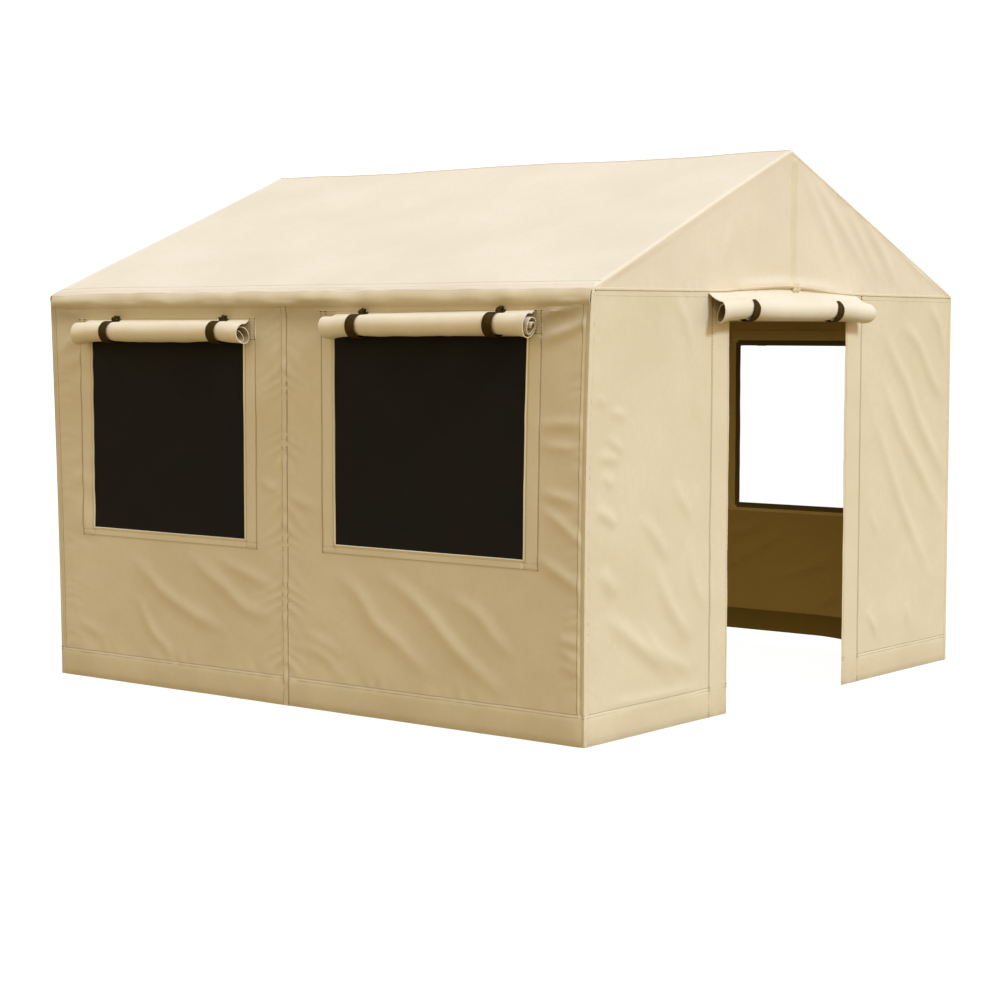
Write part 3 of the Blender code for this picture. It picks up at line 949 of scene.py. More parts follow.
def webbing_material():
    """Narrow woven tape with ribs along it."""
    shader = Shader("webbing")
    colour = linear(70, 50, 11)
    split = shader.split(shader.flat)
    ribs, picks = shader.ripples(split[1], 0.0046), shader.ripples(split[0], 0.0022)
    worn = shader.patches(60.0, 4.0, 0.4, 0.7)
    base = shader.mixed(worn, colour, scaled(colour, 1.7, 1.65, 1.6))
    # Painted shade: the tape is darker in the hollows between its ribs, where the bump below sinks.
    base = shader.mixed(shader.ramp(ribs, -1.0, 1.0), scaled(colour, 0.55), base)
    shader.bump(shader.sum(shader.times(ribs, 0.8), shader.times(picks, 0.5)), 0.6, 0.0006)
    shader.set(Base_Color=base, Roughness=0.85, Specular_IOR_Level=0.12)


def thread_material(name, colour):
    """Sewing thread, twisted, and a little uneven in colour. Its dark colour also paints the shadow
    lines along the seams.
    """
    shader = Shader(name)
    uneven = shader.patches(45.0, 2.0, 0.35, 0.65)
    base = shader.mixed(uneven, scaled(colour, 0.75), scaled(colour, 1.25))
    shader.bump(shader.noise(shader.tent, 1500.0, 1.0), 0.4, 0.0003)
    shader.set(Base_Color=base, Roughness=0.7, Specular_IOR_Level=0.2)


def mesh_material():
    """Insect mesh: a dense dark net, opaque from outside, where its near-black colour also paints the
    shade of the tent's inside seen through it, and thin enough to see out through.
    """
    shader = Shader("insect_mesh")
    colour = linear(19, 15, 10)
    split = shader.split(shader.flat)
    net = shader.sum(shader.ripples(split[0], 0.0016), shader.ripples(split[1], 0.0016), "MAXIMUM")
    dusty = shader.patches(5.0, 4.0, 0.35, 0.7)
    base = shader.mixed(dusty, scaled(colour, 0.8), scaled(colour, 1.25))
    shader.bump(net, 0.4, 0.0004)
    shader.set(Base_Color=base, Roughness=0.75, Specular_IOR_Level=0.2)
    clear = shader.add("BsdfTransparent", {"Color": (0.93, 0.92, 0.90, 1.0)})
    inside = shader.add("NewGeometry").outputs["Backfacing"]
    mix = shader.add("MixShader", {0: inside, 1: shader.surface, 2: clear})
    output = next(node for node in shader.tree.nodes if node.type == "OUTPUT_MATERIAL")
    shader.feed(output.inputs["Surface"], mix)
    MATERIALS["insect_mesh"].use_backface_culling = True


def steel_material():
    """Galvanised tube: a faint spangle, dulled in patches and scuffed."""
    shader = Shader("galvanised_steel")
    spangle = shader.add("TexVoronoi", {"Vector": shader.tent, "Scale": 90.0}).outputs["Distance"]
    base = shader.mixed(shader.ramp(spangle, 0.0, 0.7), linear(176, 178, 178), linear(150, 153, 155))
    dull = shader.patches(9.0, 4.0, 0.35, 0.65)
    base = shader.mixed(shader.times(dull, 0.5), base, linear(122, 123, 120))
    shader.bump(shader.patches(160.0, 3.0, 0.56, 0.68, 0.7), 0.25, 0.0004)
    shader.set(Base_Color=base, Roughness=shader.between(dull, 0.34, 0.58), Metallic=0.9)


def make_materials():
    wall = linear(222, 205, 172)
    canvas_material("canvas_wall", wall, soil=SOIL, eave_painted_shade=True)
    # Painted light: the end walls and their trim, the gable and the roof are the long walls' canvas made
    # bluer, and the gable and roof also lighter, for the sun and sky light that falls on those faces.
    canvas_material("canvas_end_wall", scaled(wall, 1.0, 1.01, 1.04), soil=SOIL)
    canvas_material("canvas_gable", scaled(wall, 1.06, 1.08, 1.20))
    canvas_material("canvas_roof", scaled(wall, 1.07, 1.08, 1.21))
    canvas_material("canvas_trim", scaled(wall, 1.01, 1.02, 1.02), soil=SOIL, eave_painted_shade=True)
    canvas_material("canvas_end_trim", scaled(wall, 1.01, 1.02, 1.05), soil=SOIL)
    canvas_material("canvas_flap", scaled(wall, 1.14, 1.16, 1.25))
    canvas_material("canvas_door_flap", scaled(wall, 1.08, 1.14, 1.30))
    # Painted shade: the inner face, the hem lining, the window's facing and binding inside, and the
    # flap's inner face are the same canvas in darker, browner tones that stand for the shade inside the
    # tent and in the rolls.
    canvas_material("canvas_inside_painted_shade", linear(170, 144, 82))
    canvas_material("canvas_hem_lining", linear(121, 99, 39))
    canvas_material("canvas_facing", linear(191, 168, 109))
    canvas_material("canvas_binding", linear(97, 81, 44))
    canvas_material("canvas_flap_inside_painted_shade", linear(168, 147, 104))
    canvas_material("piping", linear(229, 213, 181), thread=0.0010)
    webbing_material()
    # Partly painted shade: the thread's dark colours also stand for the shadow lines along the seams and
    # round the bands.
    thread_material("thread", linear(102, 74, 38))
    thread_material("band_thread", linear(70, 44, 14))
    mesh_material()
    steel_material()


# Walls. An opening is its two edges across and its two up, and no opening is two empty pairs.

NO_HOLE = ((), ())


def changes_of(label):
    return {**PLAIN, **CHANGES.get(label, {})}


def window_of(surface, label):
    """A window's opening, from the screen that fills it."""
    (left, right), (low, high) = surface.span("screen_" + label)
    change = changes_of(label)
    left, right = left + change["left"] - WINDOW_GAP, right + change["right"] + WINDOW_GAP
    return (left, right), (low + change["foot"] - WINDOW_GAP, high + change["head"] + WINDOW_GAP)


def outside_of(hole, u, v):
    """Which cells of a grid lie outside an opening."""
    middle_u, middle_v = (u[:-1, :-1] + u[1:, 1:]) / 2, (v[:-1, :-1] + v[1:, 1:]) / 2
    if hole == NO_HOLE:
        return np.ones(middle_u.shape, bool)
    (left, right), (low, high) = hole
    return ~((middle_u > left) & (middle_u < right) & (middle_v > low) & (middle_v < high))


def edge_marks(half):
    """Extra stations where a long wall turns round the corner."""
    marks = [half - CORNER_ROUND * share for share in (0.9, 0.65, 0.45, 0.25, 0.1)]
    groove = half - GROOVE_INSET
    marks += [groove + GROOVE_WIDTH * share for share in (-2.2, -1.5, -0.9, -0.4, 0.0, 0.5, 1.0)]
    return [*marks, *[-mark for mark in marks]]


def wall_grid(surface, reach_u, top, step, hole=NO_HOLE):
    """Grids of u and v over a wall, and which cells are cloth."""
    across = stations(*reach_u, step, *edge_marks(surface.half_width), *hole[0])
    u, v = np.meshgrid(across, stations(0.0, top, step, *hole[1]))
    return u, v, outside_of(hole, u, v)


def gable_grid(low, step, hole=NO_HOLE, bay=None):
    """Grids over an end wall up to the roof. Below the seam only the bay's width is cloth."""
    marks = [*hole[0], *([-bay, bay] if bay else []), 0.0]
    across = stations(-END_HALF_WIDTH, END_HALF_WIDTH, step, *marks)
    up = stations(low, GABLE_SEAM, step, *hole[1])
    rise = np.linspace(0, 1, math.ceil((RIDGE_HEIGHT - GABLE_SEAM) / step))[1:]
    u, v = np.meshgrid(across, np.concatenate([up, GABLE_SEAM + rise]))
    above = len(up)
    v[above:] = GABLE_SEAM + rise[:, None] * (under_roof(u[above:]) - GABLE_SEAM)
    keep = outside_of(hole, u, v)
    if bay:
        middle = (u[:-1, :-1] + u[1:, 1:]) / 2
        below = np.arange(keep.shape[0])[:, None] < above - 1
        keep &= ~(below & (np.abs(middle) > bay))
    return u, v, keep


def add_panel(surface, name, grid, outer):
    """A sheet of canvas from grids of u and v and the cells that are cloth."""
    u, v, keep = grid
    cloth = Cloth()
    cloth.grid(surface, u, v, keep=keep)
    return cloth.build(name, outer, "canvas_inside_painted_shade", thickness=CANVAS)


def window_strips(hole):
    """Centre lines and widths of the strips sewn on round a window: two sides and the foot."""
    (left, right), (low, high) = hole
    half, foot, head = SURROUND_SIDE / 2, low - SURROUND_FOOT, high + 0.01
    return [
        (column(left - half, foot, head), SURROUND_SIDE),
        (column(right + half, foot, head), SURROUND_SIDE),
        (row(left + 0.001, right - 0.001, low - SURROUND_FOOT / 2), SURROUND_FOOT),
    ]


def add_piping(surface, name, hole):
    """A narrow bound edge round the opening."""
    (left, right), (low, high) = hole
    cloth = Cloth()
    rim = PIPING / 2
    sides = [column(left, high, low - rim), row(left - rim, right + rim, low)]
    sides += [column(right, low - rim, high), row(left - rim, right + rim, high)]
    for path in sides:
        ribbon(cloth, surface, path, PIPING, lift=0.0016, puff=0.0022)
    return cloth.build("piping_" + name, "piping", sharp=SEWN_SHARP)


def lining_paths(reach_u, hole):
    """Centre line, width, depth and material slot of each strip on the inner face."""
    paths = [(row(reach_u[0] + 0.01, reach_u[1] - 0.01, HEM_HEIGHT / 2), HEM_HEIGHT, 0.0, 0)]
    if hole != NO_HOLE:
        (left, right), (low, high) = hole
        paths += [(path, width, 0.0, 1) for path, width in window_strips(hole)]
        paths.append((row(left - 0.05, right + 0.05, high + 0.04), 0.07, 0.0, 1))
        rim = BINDING / 2
        left, right, low, high = left - rim, right + rim, low - rim, high + rim
        corners = [(left, low), (left, high), (right, high), (right, low)]
        for ends in zip(corners, corners[1:] + corners[:1]):
            paths.append((list(ends), BINDING, 0.0012, 2))
    return paths


def add_lining(surface, name, reach_u, hole=NO_HOLE):
    """The doubled cloth that shows on the inner face: hem, window frame and its bound edge."""
    cloth = Cloth()
    for path, width, deeper, slot in lining_paths(reach_u, hole):
        at, places, left = path_frame(path, 0.03)
        offset = np.array([width / 2, width / 2 - 0.002, 0, 0.002 - width / 2, -width / 2])
        depth = -CANVAS - 0.0004 - deeper - np.array([0, 0.0012, 0.0015, 0.0012, 0])
        u, v = beside(places, left, offset)
        flat = paired(at[:, None], offset)
        cloth.add(surface.point(u, v, depth), grid_faces(*u.shape), flat, slot)
    return cloth.build("lining_" + name, "canvas_hem_lining", "canvas_facing", "canvas_binding")


def sewn_pieces(sewing, name, trim, reach_u, hole=NO_HOLE):
    """What is sewn on a panel: strips and stitches, its lining, and its opening's bound edge."""
    pieces = [*sewing.build(name, trim), add_lining(sewing.surface, name, reach_u, hole)]
    return pieces if hole == NO_HOLE else [*pieces, add_piping(sewing.surface, name, hole)]


def add_window_wall(surface, label, way, step):
    """One width of a long wall with its hem, window strips, edge seam and stitches."""
    name, node = "canvas_" + label, "wall_" + label
    reach_u, _ = surface.span(node)
    hole = window_of(surface, label)
    grid = wall_grid(surface, reach_u, WALL_END, step, hole)
    wall = add_panel(surface, name, grid, "canvas_wall")
    sewing = Sewing(surface)
    inner_end = reach_u[0] if way > 0 else reach_u[1]
    sewing.hem(*sorted((inner_end, way * (surface.half_width - CORNER_ROUND))))
    sewing.stitch(column(way * (surface.half_width - 0.034), 0.0, STRIP_TOP), lift=0.0)
    sewing.window(hole)
    pieces = sewn_pieces(sewing, name, "canvas_trim", reach_u, hole)
    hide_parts(node)


def add_wall_seam(surface, name):
    """The felled seam that joins the two widths of a long wall."""
    sewing = Sewing(surface)
    path = column(WALL_SEAM_U + SEAM_SHIFT, 0.0, STRIP_TOP)
    sewing.strip(path, SEAM_WIDTH, lift=0.0016, puff=0.0007)
    for offset in SEAM_ROWS:
        sewing.stitch(shifted(path, offset), lift=0.0020)
    sewing.build(name, "canvas_trim", prefix="")


def add_corner_strips(surface, name):
    """Bound edges of an end wall, where it meets the long walls."""
    sewing = Sewing(surface)
    half = CORNER_STRIP / 2
    for way in (-1, 1):
        path = column(way * (surface.half_width - half + 0.002), 0.0, CORNER_STRIP_TOP)
        sewing.strip(path, CORNER_STRIP, lift=0.0016, puff=0.0012)
        sewing.stitch(shifted(path, way * (half - 0.004)), lift=0.0016)
    sewing.build(name, "canvas_end_trim", prefix="")


def add_far_end(surface):
    """The far end: one sheet up to the roof, with a window."""
    name = "canvas_far_end"
    hole = window_of(surface, "far_end")
    wall = add_panel(surface, name, gable_grid(0.0, FAR_END_STEP, hole), "canvas_end_wall")
    sewing = Sewing(surface)
    half = surface.half_width
    sewing.hem(-half, half)
    sewing.window(hole)
    seam = row(-half, half, GABLE_SEAM)
    sewing.strip(seam, GABLE_STRIP, lift=0.0012)
    sewing.stitch(seam, lift=0.0016)
    pieces = sewn_pieces(sewing, name, "canvas_end_trim", (-half, half), hole)
    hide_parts("wall_far_end", "gable_far_end")


def add_door_wall(surface, side, way):
    """The panel beside the doorway, with the strip that edges the opening."""
    name, node = "canvas_door_" + side, "wall_door_" + side
    reach_u, _ = surface.span(node)
    grid = wall_grid(surface, reach_u, GABLE_SEAM, DOOR_END_STEP)
    wall = add_panel(surface, name, grid, "canvas_end_wall")
    sewing = Sewing(surface)
    sewing.hem(*reach_u)
    door, jamb = way * DOOR_HALF_WIDTH, JAMB_LINES[side]
    sewing.strip(column((door + jamb) / 2, 0, DOOR_HEAD + 0.06), abs(jamb - door), puff=0.001)
    for inset in JAMB_INSETS:
        sewing.stitch(column(jamb - way * inset, 0.0, GABLE_SEAM))
    sewing.stitch(column(door + way * 0.012, 0.0, DOOR_HEAD))
    sewing.stitch([(way * (surface.half_width - 0.03), 1.771), (jamb, 1.775)], lift=-0.0004)
    pieces = sewn_pieces(sewing, name, "canvas_end_trim", reach_u)
    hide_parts(node)


def add_gable(surface):
    """The gable over the doorway, with its seams and the cloth over the door's head."""
    grid = gable_grid(DOOR_HEAD, DOOR_END_STEP, bay=DOOR_HALF_WIDTH)
    gable = add_panel(surface, "canvas_gable", grid, "canvas_gable")
    sewing = Sewing(surface)
    sewing.strip(GABLE_SEAM_PATH, GABLE_STRIP, lift=0.0014)
    sewing.stitch(shifted(GABLE_SEAM_PATH, -0.004), lift=0.0016)
    seam = rounded_path(GABLE_SEAM_PATH)
    bowed = seam[(seam[:, 0] > BOWED_SEAM[0]) & (seam[:, 0] < BOWED_SEAM[1])]
    sewing.strip(bowed, BOWED_STRIP, lift=0.0024, puff=0.001, bow=0.0065)
    sewing.strip(column(*UPRIGHT_SEAM), UPRIGHT_STRIP, lift=0.0009, puff=0.0003)
    sewing.strip(row(-DOOR_HALF_WIDTH, DOOR_HALF_WIDTH, DOOR_HEAD + HEAD_STRIP / 2), HEAD_STRIP)
    pieces = sewing.build("gable", "canvas_end_trim")
    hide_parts("gable_door")


def add_roof(roof):
    """Two slopes, the strip over the ridge, and the hems along their edges."""
    bend = RAKE_ROUND * math.pi / 2
    edge = roof.flat_u + bend + RAKE_SKIRT
    marks = [roof.flat_u + bend * share for share in (0, 0.25, 0.5, 0.75, 1.0)]
    along = stations(-edge, edge, ROOF_STEPS[0], *marks, *[-mark for mark in marks])
    inner = [length for length in roof.profile[:, 0] if length > roof.eave - 1e-6]
    across = stations(0.0, roof.half, ROOF_STEPS[1], *roof.profile[1:5, 0], *inner)
    sewing = Sewing(roof)
    ends = (-roof.flat_u, roof.flat_u)
    sewing.strip(row(*ends, 0.0), RIDGE_STRIP, lift=0.0016, puff=0.0016)
    for way in (-1, 1):
        sewing.strip(row(*ends, way * (roof.eave - ROOF_HEM / 2)), ROOF_HEM, lift=0.0012)
        sewing.stitch(row(*ends, way * (roof.eave - ROOF_HEM + STRIP_INSET)), lift=0.0014)
        welt = row(*ends, way * (roof.eave + EAVE_FACE - WELT / 2))
        sewing.strip(welt, WELT, lift=0.0009, puff=0.0005)
        for end in (-1, 1):
            rake = column(end * (roof.flat_u - RAKE_HEM / 2), way * RIDGE_STRIP / 2, way * roof.eave)
            sewing.strip(rake, RAKE_HEM, lift=0.0012)
    for offset in RIDGE_ROWS:
        sewing.stitch(row(*ends, offset), lift=0.0024)
    pieces = sewing.build("roof", "canvas_roof")
    lined = ["canvas_roof", "canvas_inside_painted_shade", "canvas_wall", "canvas_inside_painted_shade"]
    for way, side in ((-1, "front"), (1, "rear")):
        u, v = np.meshgrid(along, np.sort(way * across))
        cloth = Cloth()
        past_eave = np.abs(v[:-1, :-1] + v[1:, 1:]) / 2 > roof.eave + EAVE_FACE
        cloth.grid(roof, u, v, slot=2 * past_eave.ravel())
        slope = cloth.build("canvas_roof_" + side, *lined, thickness=CANVAS)
        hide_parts("roof_" + side)


# Windows, rolled flaps and straps

def add_screen(surface, label):
    """A window's insect mesh, which sags a little between its edges."""
    (left, right), (low, high) = window_of(surface, label)
    u, v = np.meshgrid(stations(left, right, SCREEN_STEP), stations(low, high, SCREEN_STEP))
    across, up = (u - left) / (right - left), (v - low) / (high - low)
    sag = -0.006 * np.sin(math.pi * across) * np.sin(math.pi * up)
    cloth = Cloth()
    cloth.grid(surface, u, v, lift=sag - 0.0005)
    piece = cloth.build("mesh_" + label, "insect_mesh")
    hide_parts("screen_" + label)


class Roll:
    """A flap rolled up over its own top edge: a loose spiral with uneven ends."""

    def __init__(self, surface, label, radius, seed):
        (left, right), (low, high) = surface.span("flap_" + label)
        change = changes_of(label)
        self.surface, self.label, self.door = surface, label, label == "door"
        self.straps, self.rise = change["straps"], change["rise"]
        self.core_out, self.skew = change["core"], change["skew"]
        self.middle = (left + right) / 2 + change["along"]
        self.length = right - left + change["longer"]
        self.height = (low + high) / 2 - 0.001 + change["up"]
        self.radius, self.standoff = radius, radius + ROLL_GAP
        self.lumps = Waves(seed, 0.06, 0.5, 0.0016)
        self.random = np.random.default_rng(seed)
        self.droop = Waves(seed + 50, 0.5, 1.5, 0.0016, 6)

    def root(self, u):
        """Height of the line where the flap leaves the wall."""
        if self.door:
            seam = rounded_path(GABLE_SEAM_PATH)
            return np.interp(u + self.middle, seam[:, 0], seam[:, 1]) - 0.009
        return self.height + BAND_HIGH - 0.010 + self.rise * u / self.length

    def waist(self, u):
        """How much the straps draw the roll in."""
        squeeze = sum(np.exp(-(((u - strap) / WAIST_REACH) ** 2)) for strap in self.straps)
        return 1 - WAIST * squeeze

    def axis(self, u):
        """The roll's middle, out from the wall and up: it sags between the straps and past them."""
        low, high = self.straps
        between = np.clip((u - low) / (high - low), 0, 1)
        past = np.clip(np.maximum(low - u, u - high), 0, None)
        sag = ROLL_SAG * np.sin(math.pi * between) + END_DROP * past**1.5
        uneven = self.droop.at(u, np.zeros(u.shape))
        return self.standoff + 0.5 * uneven, self.height - sag + uneven + self.rise * u / self.length

    def points(self):
        """Grids of points and flat places: rows go round the roll, columns along it."""
        count, tail = math.ceil(ROLL_TURNS * TURN_POINTS), 4
        along = stations(-self.length / 2, self.length / 2, ROLL_STEP)
        u = np.broadcast_to(along, (count, len(along)))
        out_axis, up_axis = self.axis(u)
        root = self.root(along)
        rise, back = root - up_axis[0], out_axis[0] - TAIL_GAP
        first = np.arccos(np.clip(self.radius / np.hypot(rise, back), -1, 1)) - np.arctan2(back, rise)
        depth = np.linspace(0, 1, count)[:, None]
        angle = first + (2 * math.pi * ROLL_TURNS - first) * depth
        lobe = self.random.uniform(0, 2 * math.pi, 3)
        oval = 0.10 * np.sin(2 * angle + lobe[0]) + 0.09 * np.sin(3 * angle + lobe[1])
        core = self.radius * ROLL_CORE
        radius = (core + (self.radius - core) * (1 - depth) ** 1.10) * (1 + depth * oval)
        near_end = np.exp(-(((self.length / 2 - np.abs(u)) / END_REACH) ** 2))
        lumps = self.lumps.at(u, radius * angle * 0.5)
        reach = radius * self.waist(u) + lumps * (1 + 2 * near_end) + 0.0025 * near_end * (1 - depth)
        shift = 0.008 * np.sin(angle + lobe[2]) + self.core_out * depth + 0.006
        shift = shift + self.skew * np.sin(angle)
        across = u + np.sign(u) * near_end * shift
        out = out_axis + reach * np.sin(angle)
        up = up_axis + reach * np.cos(angle) - 0.006 * near_end * depth
        lead = np.linspace(0, 1, tail + 1)[:-1, None]
        hang = TAIL_HANG * np.sin(math.pi * lead)
        foot_out = TAIL_GAP + self.surface.flare(along + self.middle, root)
        tail_out = foot_out + (out[0] - foot_out) * lead
        tail_up = root + (up[0] - root) * lead - hang
        tuck = 0 if self.door else TAIL_TUCK
        tail_u = across[0] - tuck * np.sign(along) * near_end[0] * (1 - lead)
        out, up = np.vstack([tail_out, out]), np.vstack([tail_up, up])
        across = np.vstack([tail_u, across]) + self.middle
        steps = np.hypot(np.diff(out, axis=0), np.diff(up, axis=0)).mean(axis=1)
        run = np.concatenate([[0], np.cumsum(steps)])
        return self.surface.place(across, up, out), paired(across, run[:, None]), run[-1]


def add_flap(roll, strap_piece):
    """The rolled flap's cloth."""
    points, flat, length = roll.points()
    cloth = Cloth()
    cloth.add(points, grid_faces(*points.shape[:2], flip=True), flat)
    name = "flap_" + roll.label
    faces = ["canvas_door_flap" if roll.door else "canvas_flap", "canvas_flap_inside_painted_shade"]
    piece = cloth.build(name + "_roll", *faces, thickness=FLAP_THICKNESS, sharp=60)
    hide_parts(name)


def strap_path(roll, at):
    """Points out and up along a strap, from over the roll, round its front and up behind it."""
    out_axis, up_axis = (float(value) for value in roll.axis(np.array(at)))
    reach = roll.radius * float(roll.waist(np.array(at))) + STRAP_GAP
    angles = np.radians(np.linspace(30 if roll.door else -32, 300, 34))
    path = [(out_axis + reach * math.sin(angle), up_axis + reach * math.cos(angle)) for angle in angles]
    top = [] if roll.door else [(0.0050, up_axis + BAND_HIGH - 0.006)]
    return np.array(top + path)


def lump(cloth, surface, middle, size, seed):
    """A small tight knot: a closed rounded form with uneven lobes."""
    turn, tilt = np.meshgrid(np.linspace(0, 2 * math.pi, 17), np.linspace(-math.pi / 2, math.pi / 2, 10))
    way = [np.cos(tilt) * np.cos(turn), np.cos(tilt) * np.sin(turn), np.sin(tilt)]
    swell = 1 + Waves(seed, 0.9, 2.4, 0.16).at(way[0] + way[2], way[1] - way[2])
    across, out, up = (middle[k] + size[k] * swell * way[k] for k in range(3))
    cloth.add(surface.place(across, up, out), grid_faces(*turn.shape), paired(across, up))


def add_strap(cloth, roll, at, seed):
    """A webbing loop round the roll, its knot, and the tab that it hangs from."""
    path = strap_path(roll, at)
    run = run_along(path)
    across, level = STRAP_SECTION.T * [[STRAP_WIDTH / 2], [STRAP_THICKNESS / 2]]
    narrow = 0.5 + 0.5 * ease(run / 0.05)
    lean = 0.008 - 0.010 * ease(run / 0.06)
    u = roll.middle + at + across * narrow[:, None] + lean[:, None]
    out, up = beside(path, left_of(path), level)
    points = roll.surface.place(u, up, out)
    cloth.add(points, grid_faces(*points.shape[:2]), paired(run[:, None], across))
    if roll.door:
        return
    level = float(roll.axis(np.array(at))[1])
    knot_u, knot_up = roll.middle + at - 0.004, level + roll.radius + 0.009
    lump(cloth, roll.surface, (knot_u, 0.026, knot_up), (0.010, 0.012, 0.012), seed)
    small = (knot_u + 0.007, 0.021, knot_up + 0.010)
    lump(cloth, roll.surface, small, (0.007, 0.009, 0.008), seed + 1)
    tab_top = level + BAND_HIGH + 0.010
    tab = column(knot_u + 0.004, tab_top - 0.026, tab_top)
    ribbon(cloth, roll.surface, tab, TAB_WIDTH, lift=0.0040, puff=0.0010)


def add_straps(roll, band_middle, band_half, seed):
    """The straps of one roll, and the canvas band on the wall that they are sewn to."""
    webbing, sewing = Cloth(), Sewing(roll.surface)
    for count, at in enumerate(roll.straps):
        add_strap(webbing, roll, at, seed + 7 * count)
    left, right = band_middle - band_half, band_middle + band_half
    low, high = roll.height + BAND_LOW, roll.height + BAND_HIGH
    middle = roll.height + (BAND_LOW + BAND_HIGH) / 2
    sewing.strip(row(left, right, middle), BAND_HIGH - BAND_LOW, lift=0.0024)
    for height in (low + BAND_INSET, high - BAND_INSET):
        sewing.stitch(row(left + BAND_INSET, right - BAND_INSET, height), lift=0.0022)
    for inset in (BAND_INSET, 0.0080):
        insets = (inset, BAND_BOX + inset)
        for place in [left + gap for gap in insets] + [right - gap for gap in insets]:
            sewing.stitch(column(place, low + 0.006, high - 0.006), lift=0.0026)
    sewing.build("band_" + roll.label, "canvas_trim", prefix="", thread="band_thread")
    piece = webbing.build("webbing_" + roll.label, "webbing", sharp=50)
    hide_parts("straps_" + roll.label)
    return piece


def add_window_goods(surface, label, seed):
    """A window's mesh, its rolled flap and the flap's straps."""
    add_screen(surface, label)
    roll = Roll(surface, label, WINDOW_ROLL_RADIUS, seed)
    (left, right), _ = window_of(surface, label)
    webbing = add_straps(roll, (left + right) / 2, (right - left) / 2 + SURROUND_SIDE, seed)
    add_flap(roll, webbing)


def add_door_goods(surface, seed):
    """The rolled door, its straps, and the small cloth toggle on the seam over it."""
    roll = Roll(surface, "door", DOOR_ROLL_RADIUS, seed)
    add_flap(roll, add_straps(roll, 0.0, DOOR_HALF_WIDTH, seed))
    toggle = Cloth()
    seam = max(height for _, height in GABLE_SEAM_PATH)
    for place in (0.008, 0.038):
        lump(toggle, surface, (place, 0.014, seam - 0.009), (0.015, 0.013, 0.013), 5)
    toggle.build("toggle_door", "canvas_trim", sharp=SEWN_SHARP)


def dress_frame():
    """Galvanised steel on the tubes that the model shows."""
    for name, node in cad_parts.items():
        if name.startswith(("post_", "rafter_", "eave_rail_", "ridge_pole")):
            node.data.materials.clear()
            node.data.materials.append(MATERIALS["galvanised_steel"])


# Stage and light

def add_floor():
    """A plain pale floor that stays near white and takes a faint shadow."""
    mesh = bpy.data.meshes.new("floor")
    reach = 60.0
    corners = [(-reach, -reach), (reach, -reach), (reach, reach), (-reach, reach)]
    mesh.from_pydata([(x, y, -0.001) for x, y in corners], [], [(0, 1, 2, 3)])
    floor = in_scene("floor", mesh)
    shader = Shader("pale_floor")
    shader.set(Base_Color=(0.10, 0.10, 0.10, 1.0), Roughness=1.0, Specular_IOR_Level=0.0)
    shader.set(Emission_Color=(1.0, 1.0, 1.0, 1.0), Emission_Strength=0.98)
    mesh.materials.append(MATERIALS["pale_floor"])
    floor.visible_diffuse = floor.visible_glossy = False


def add_world():
    """White to the camera. As light: cool and bright overhead, warm and dimmer below."""
    world = bpy.data.worlds.new("studio")
    bpy.context.scene.world = world
    world.use_nodes = True
    world.node_tree.nodes.clear()
    nodes = Nodes(world.node_tree)
    height = nodes.split(nodes.add("TexCoord").outputs["Generated"])[2]
    light = nodes.add("Background", {0: nodes.colours(nodes.ramp(height, -1.0, 1.0), SKY)})
    seen = nodes.add("Background", {0: (1.0, 1.0, 1.0, 1.0), 1: 1.15})
    rays = nodes.add("LightPath").outputs["Is Camera Ray"]
    mix = nodes.add("MixShader", {0: rays, 1: light, 2: seen})
    nodes.add("OutputWorld", {0: mix})


def add_sun():
    """A soft high sun from the doorway's side, which grazes the front."""
    data = bpy.data.lights.new("sun", "SUN")
    data.energy, data.color, data.angle = SUN_STRENGTH, SUN_COLOUR, SUN_SIZE
    sun = in_scene("sun", data)
    sun.rotation_mode = "QUATERNION"
    sun.rotation_quaternion = Vector(SUN_WAY).to_track_quat("Z", "Y")


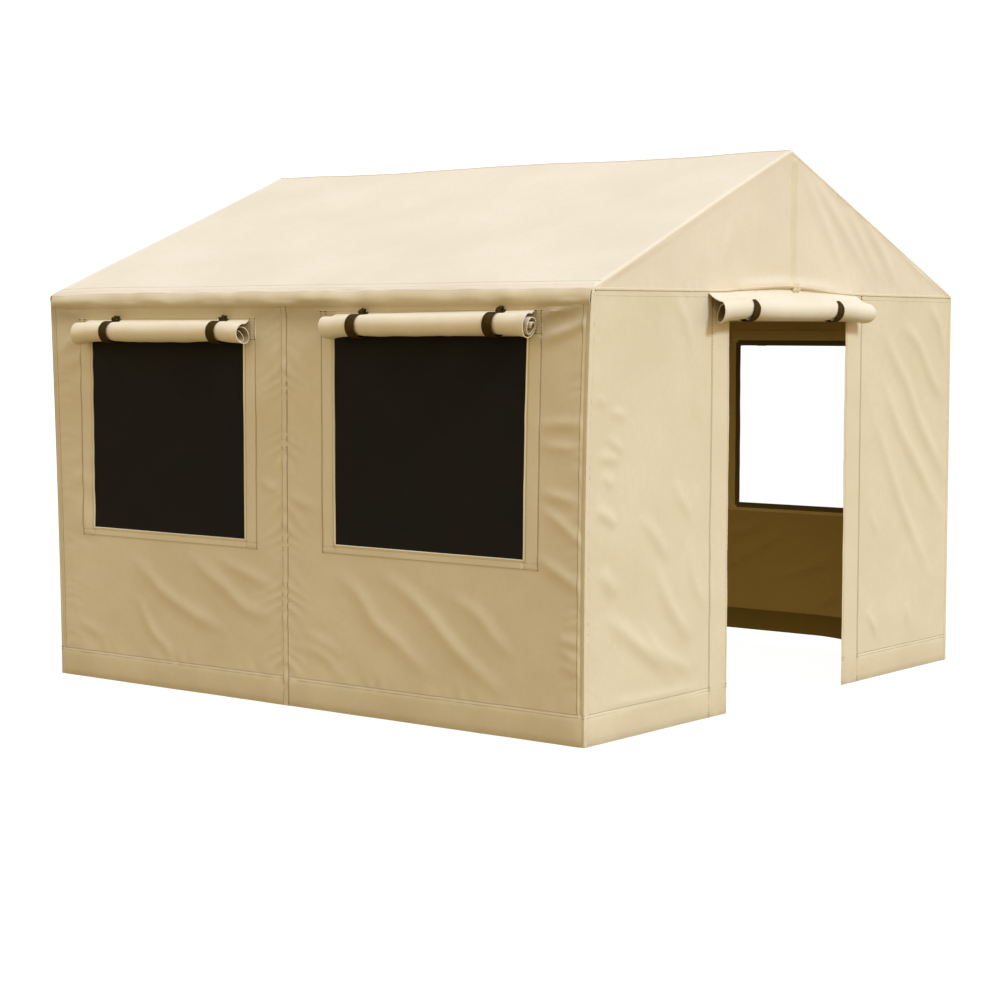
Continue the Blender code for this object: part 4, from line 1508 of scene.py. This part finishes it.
def make_surfaces():
    """The four sides and the roof, each with its folds."""
    long_shapes = [
        *[Fold(LONG_RISE, *fold) for fold in WINDOW_WALL_FOLDS],
        Puckers((WALL_SEAM_U, 0.05), (WALL_SEAM_U, 1.74), 0.10, 0.062, 0.0026, 0.6),
        Puckers((-1.47, 0.1), (-1.47, 1.6), 0.07, 0.046, 0.0011, 0.3),
        Puckers((-1.38, 0.6), (-1.38, 1.65), 0.09, 0.140, 0.0030, 0.5),
        Puckers((1.50, 0.1), (1.50, 1.6), 0.05, 0.060, 0.0010, 0.4),
        Puckers((-1.5, HEM_HEIGHT), (1.5, HEM_HEIGHT), 0.05, 0.11, 0.0016, 0.5),
    ]
    ends = [
        Puckers((-1.5, 0.1), (-1.5, 1.7), 0.07, 0.055, 0.0010, 0.4),
        Puckers((1.5, 0.1), (1.5, 1.7), 0.05, 0.060, 0.0008, 0.4),
        Puckers((-1.4, GABLE_SEAM), (1.4, GABLE_SEAM), 0.05, 0.09, 0.0010, 0.3),
    ]
    door_folds = [Fold(END_RISE, *fold) for fold in END_LEFT_FOLDS + END_RIGHT_FOLDS]
    door_folds += [Fold(LONG_RISE, *fold) for fold in GABLE_FOLDS]
    far_folds = END_LEFT_FOLDS + mirrored(END_LEFT_FOLDS + GABLE_FOLDS)
    far_folds = [Fold(LONG_RISE, *fold) for fold in far_folds]
    return {
        "front": Wall(0, [*long_shapes, Waves(3, 0.10, 0.9, 0.0016)]),
        "rear": Wall(180, [*long_shapes, Waves(17, 0.10, 0.9, 0.0020)], REAR_RISE),
        "door_end": Wall(90, [*door_folds, *ends, Waves(8, 0.12, 0.9, 0.0014)]),
        "far_end": Wall(270, [*far_folds, *ends, Waves(29, 0.12, 0.9, 0.0018)]),
        "roof": Roof([Waves(41, 0.18, 1.2, 0.0013)]),
    }


def main():
    add_camera()
    make_materials()
    surfaces = make_surfaces()
    sides = (("left", -1), ("right", 1))
    for side, step in (("front", FRONT_STEP), ("rear", REAR_STEP)):
        for half, way in sides:
            add_window_wall(surfaces[side], f"{side}_{half}", way, step)
        add_wall_seam(surfaces[side], "seam_" + side)
    add_far_end(surfaces["far_end"])
    for side, way in sides:
        add_door_wall(surfaces["door_end"], side, way)
    add_gable(surfaces["door_end"])
    for side in ("far_end", "door_end"):
        add_corner_strips(surfaces[side], "corner_strips_" + side)
    add_roof(surfaces["roof"])
    windows = [(side, f"{side}_{half}") for side in ("front", "rear") for half, _ in sides]
    for seed, (side, label) in enumerate(windows, 11):
        add_window_goods(surfaces[side], label, seed)
    add_window_goods(surfaces["far_end"], "far_end", 33)
    add_door_goods(surfaces["door_end"], 71)
    dress_frame()
    add_floor()
    add_world()
    add_sun()
    bpy.context.scene.view_settings.view_transform = "Standard"


main()
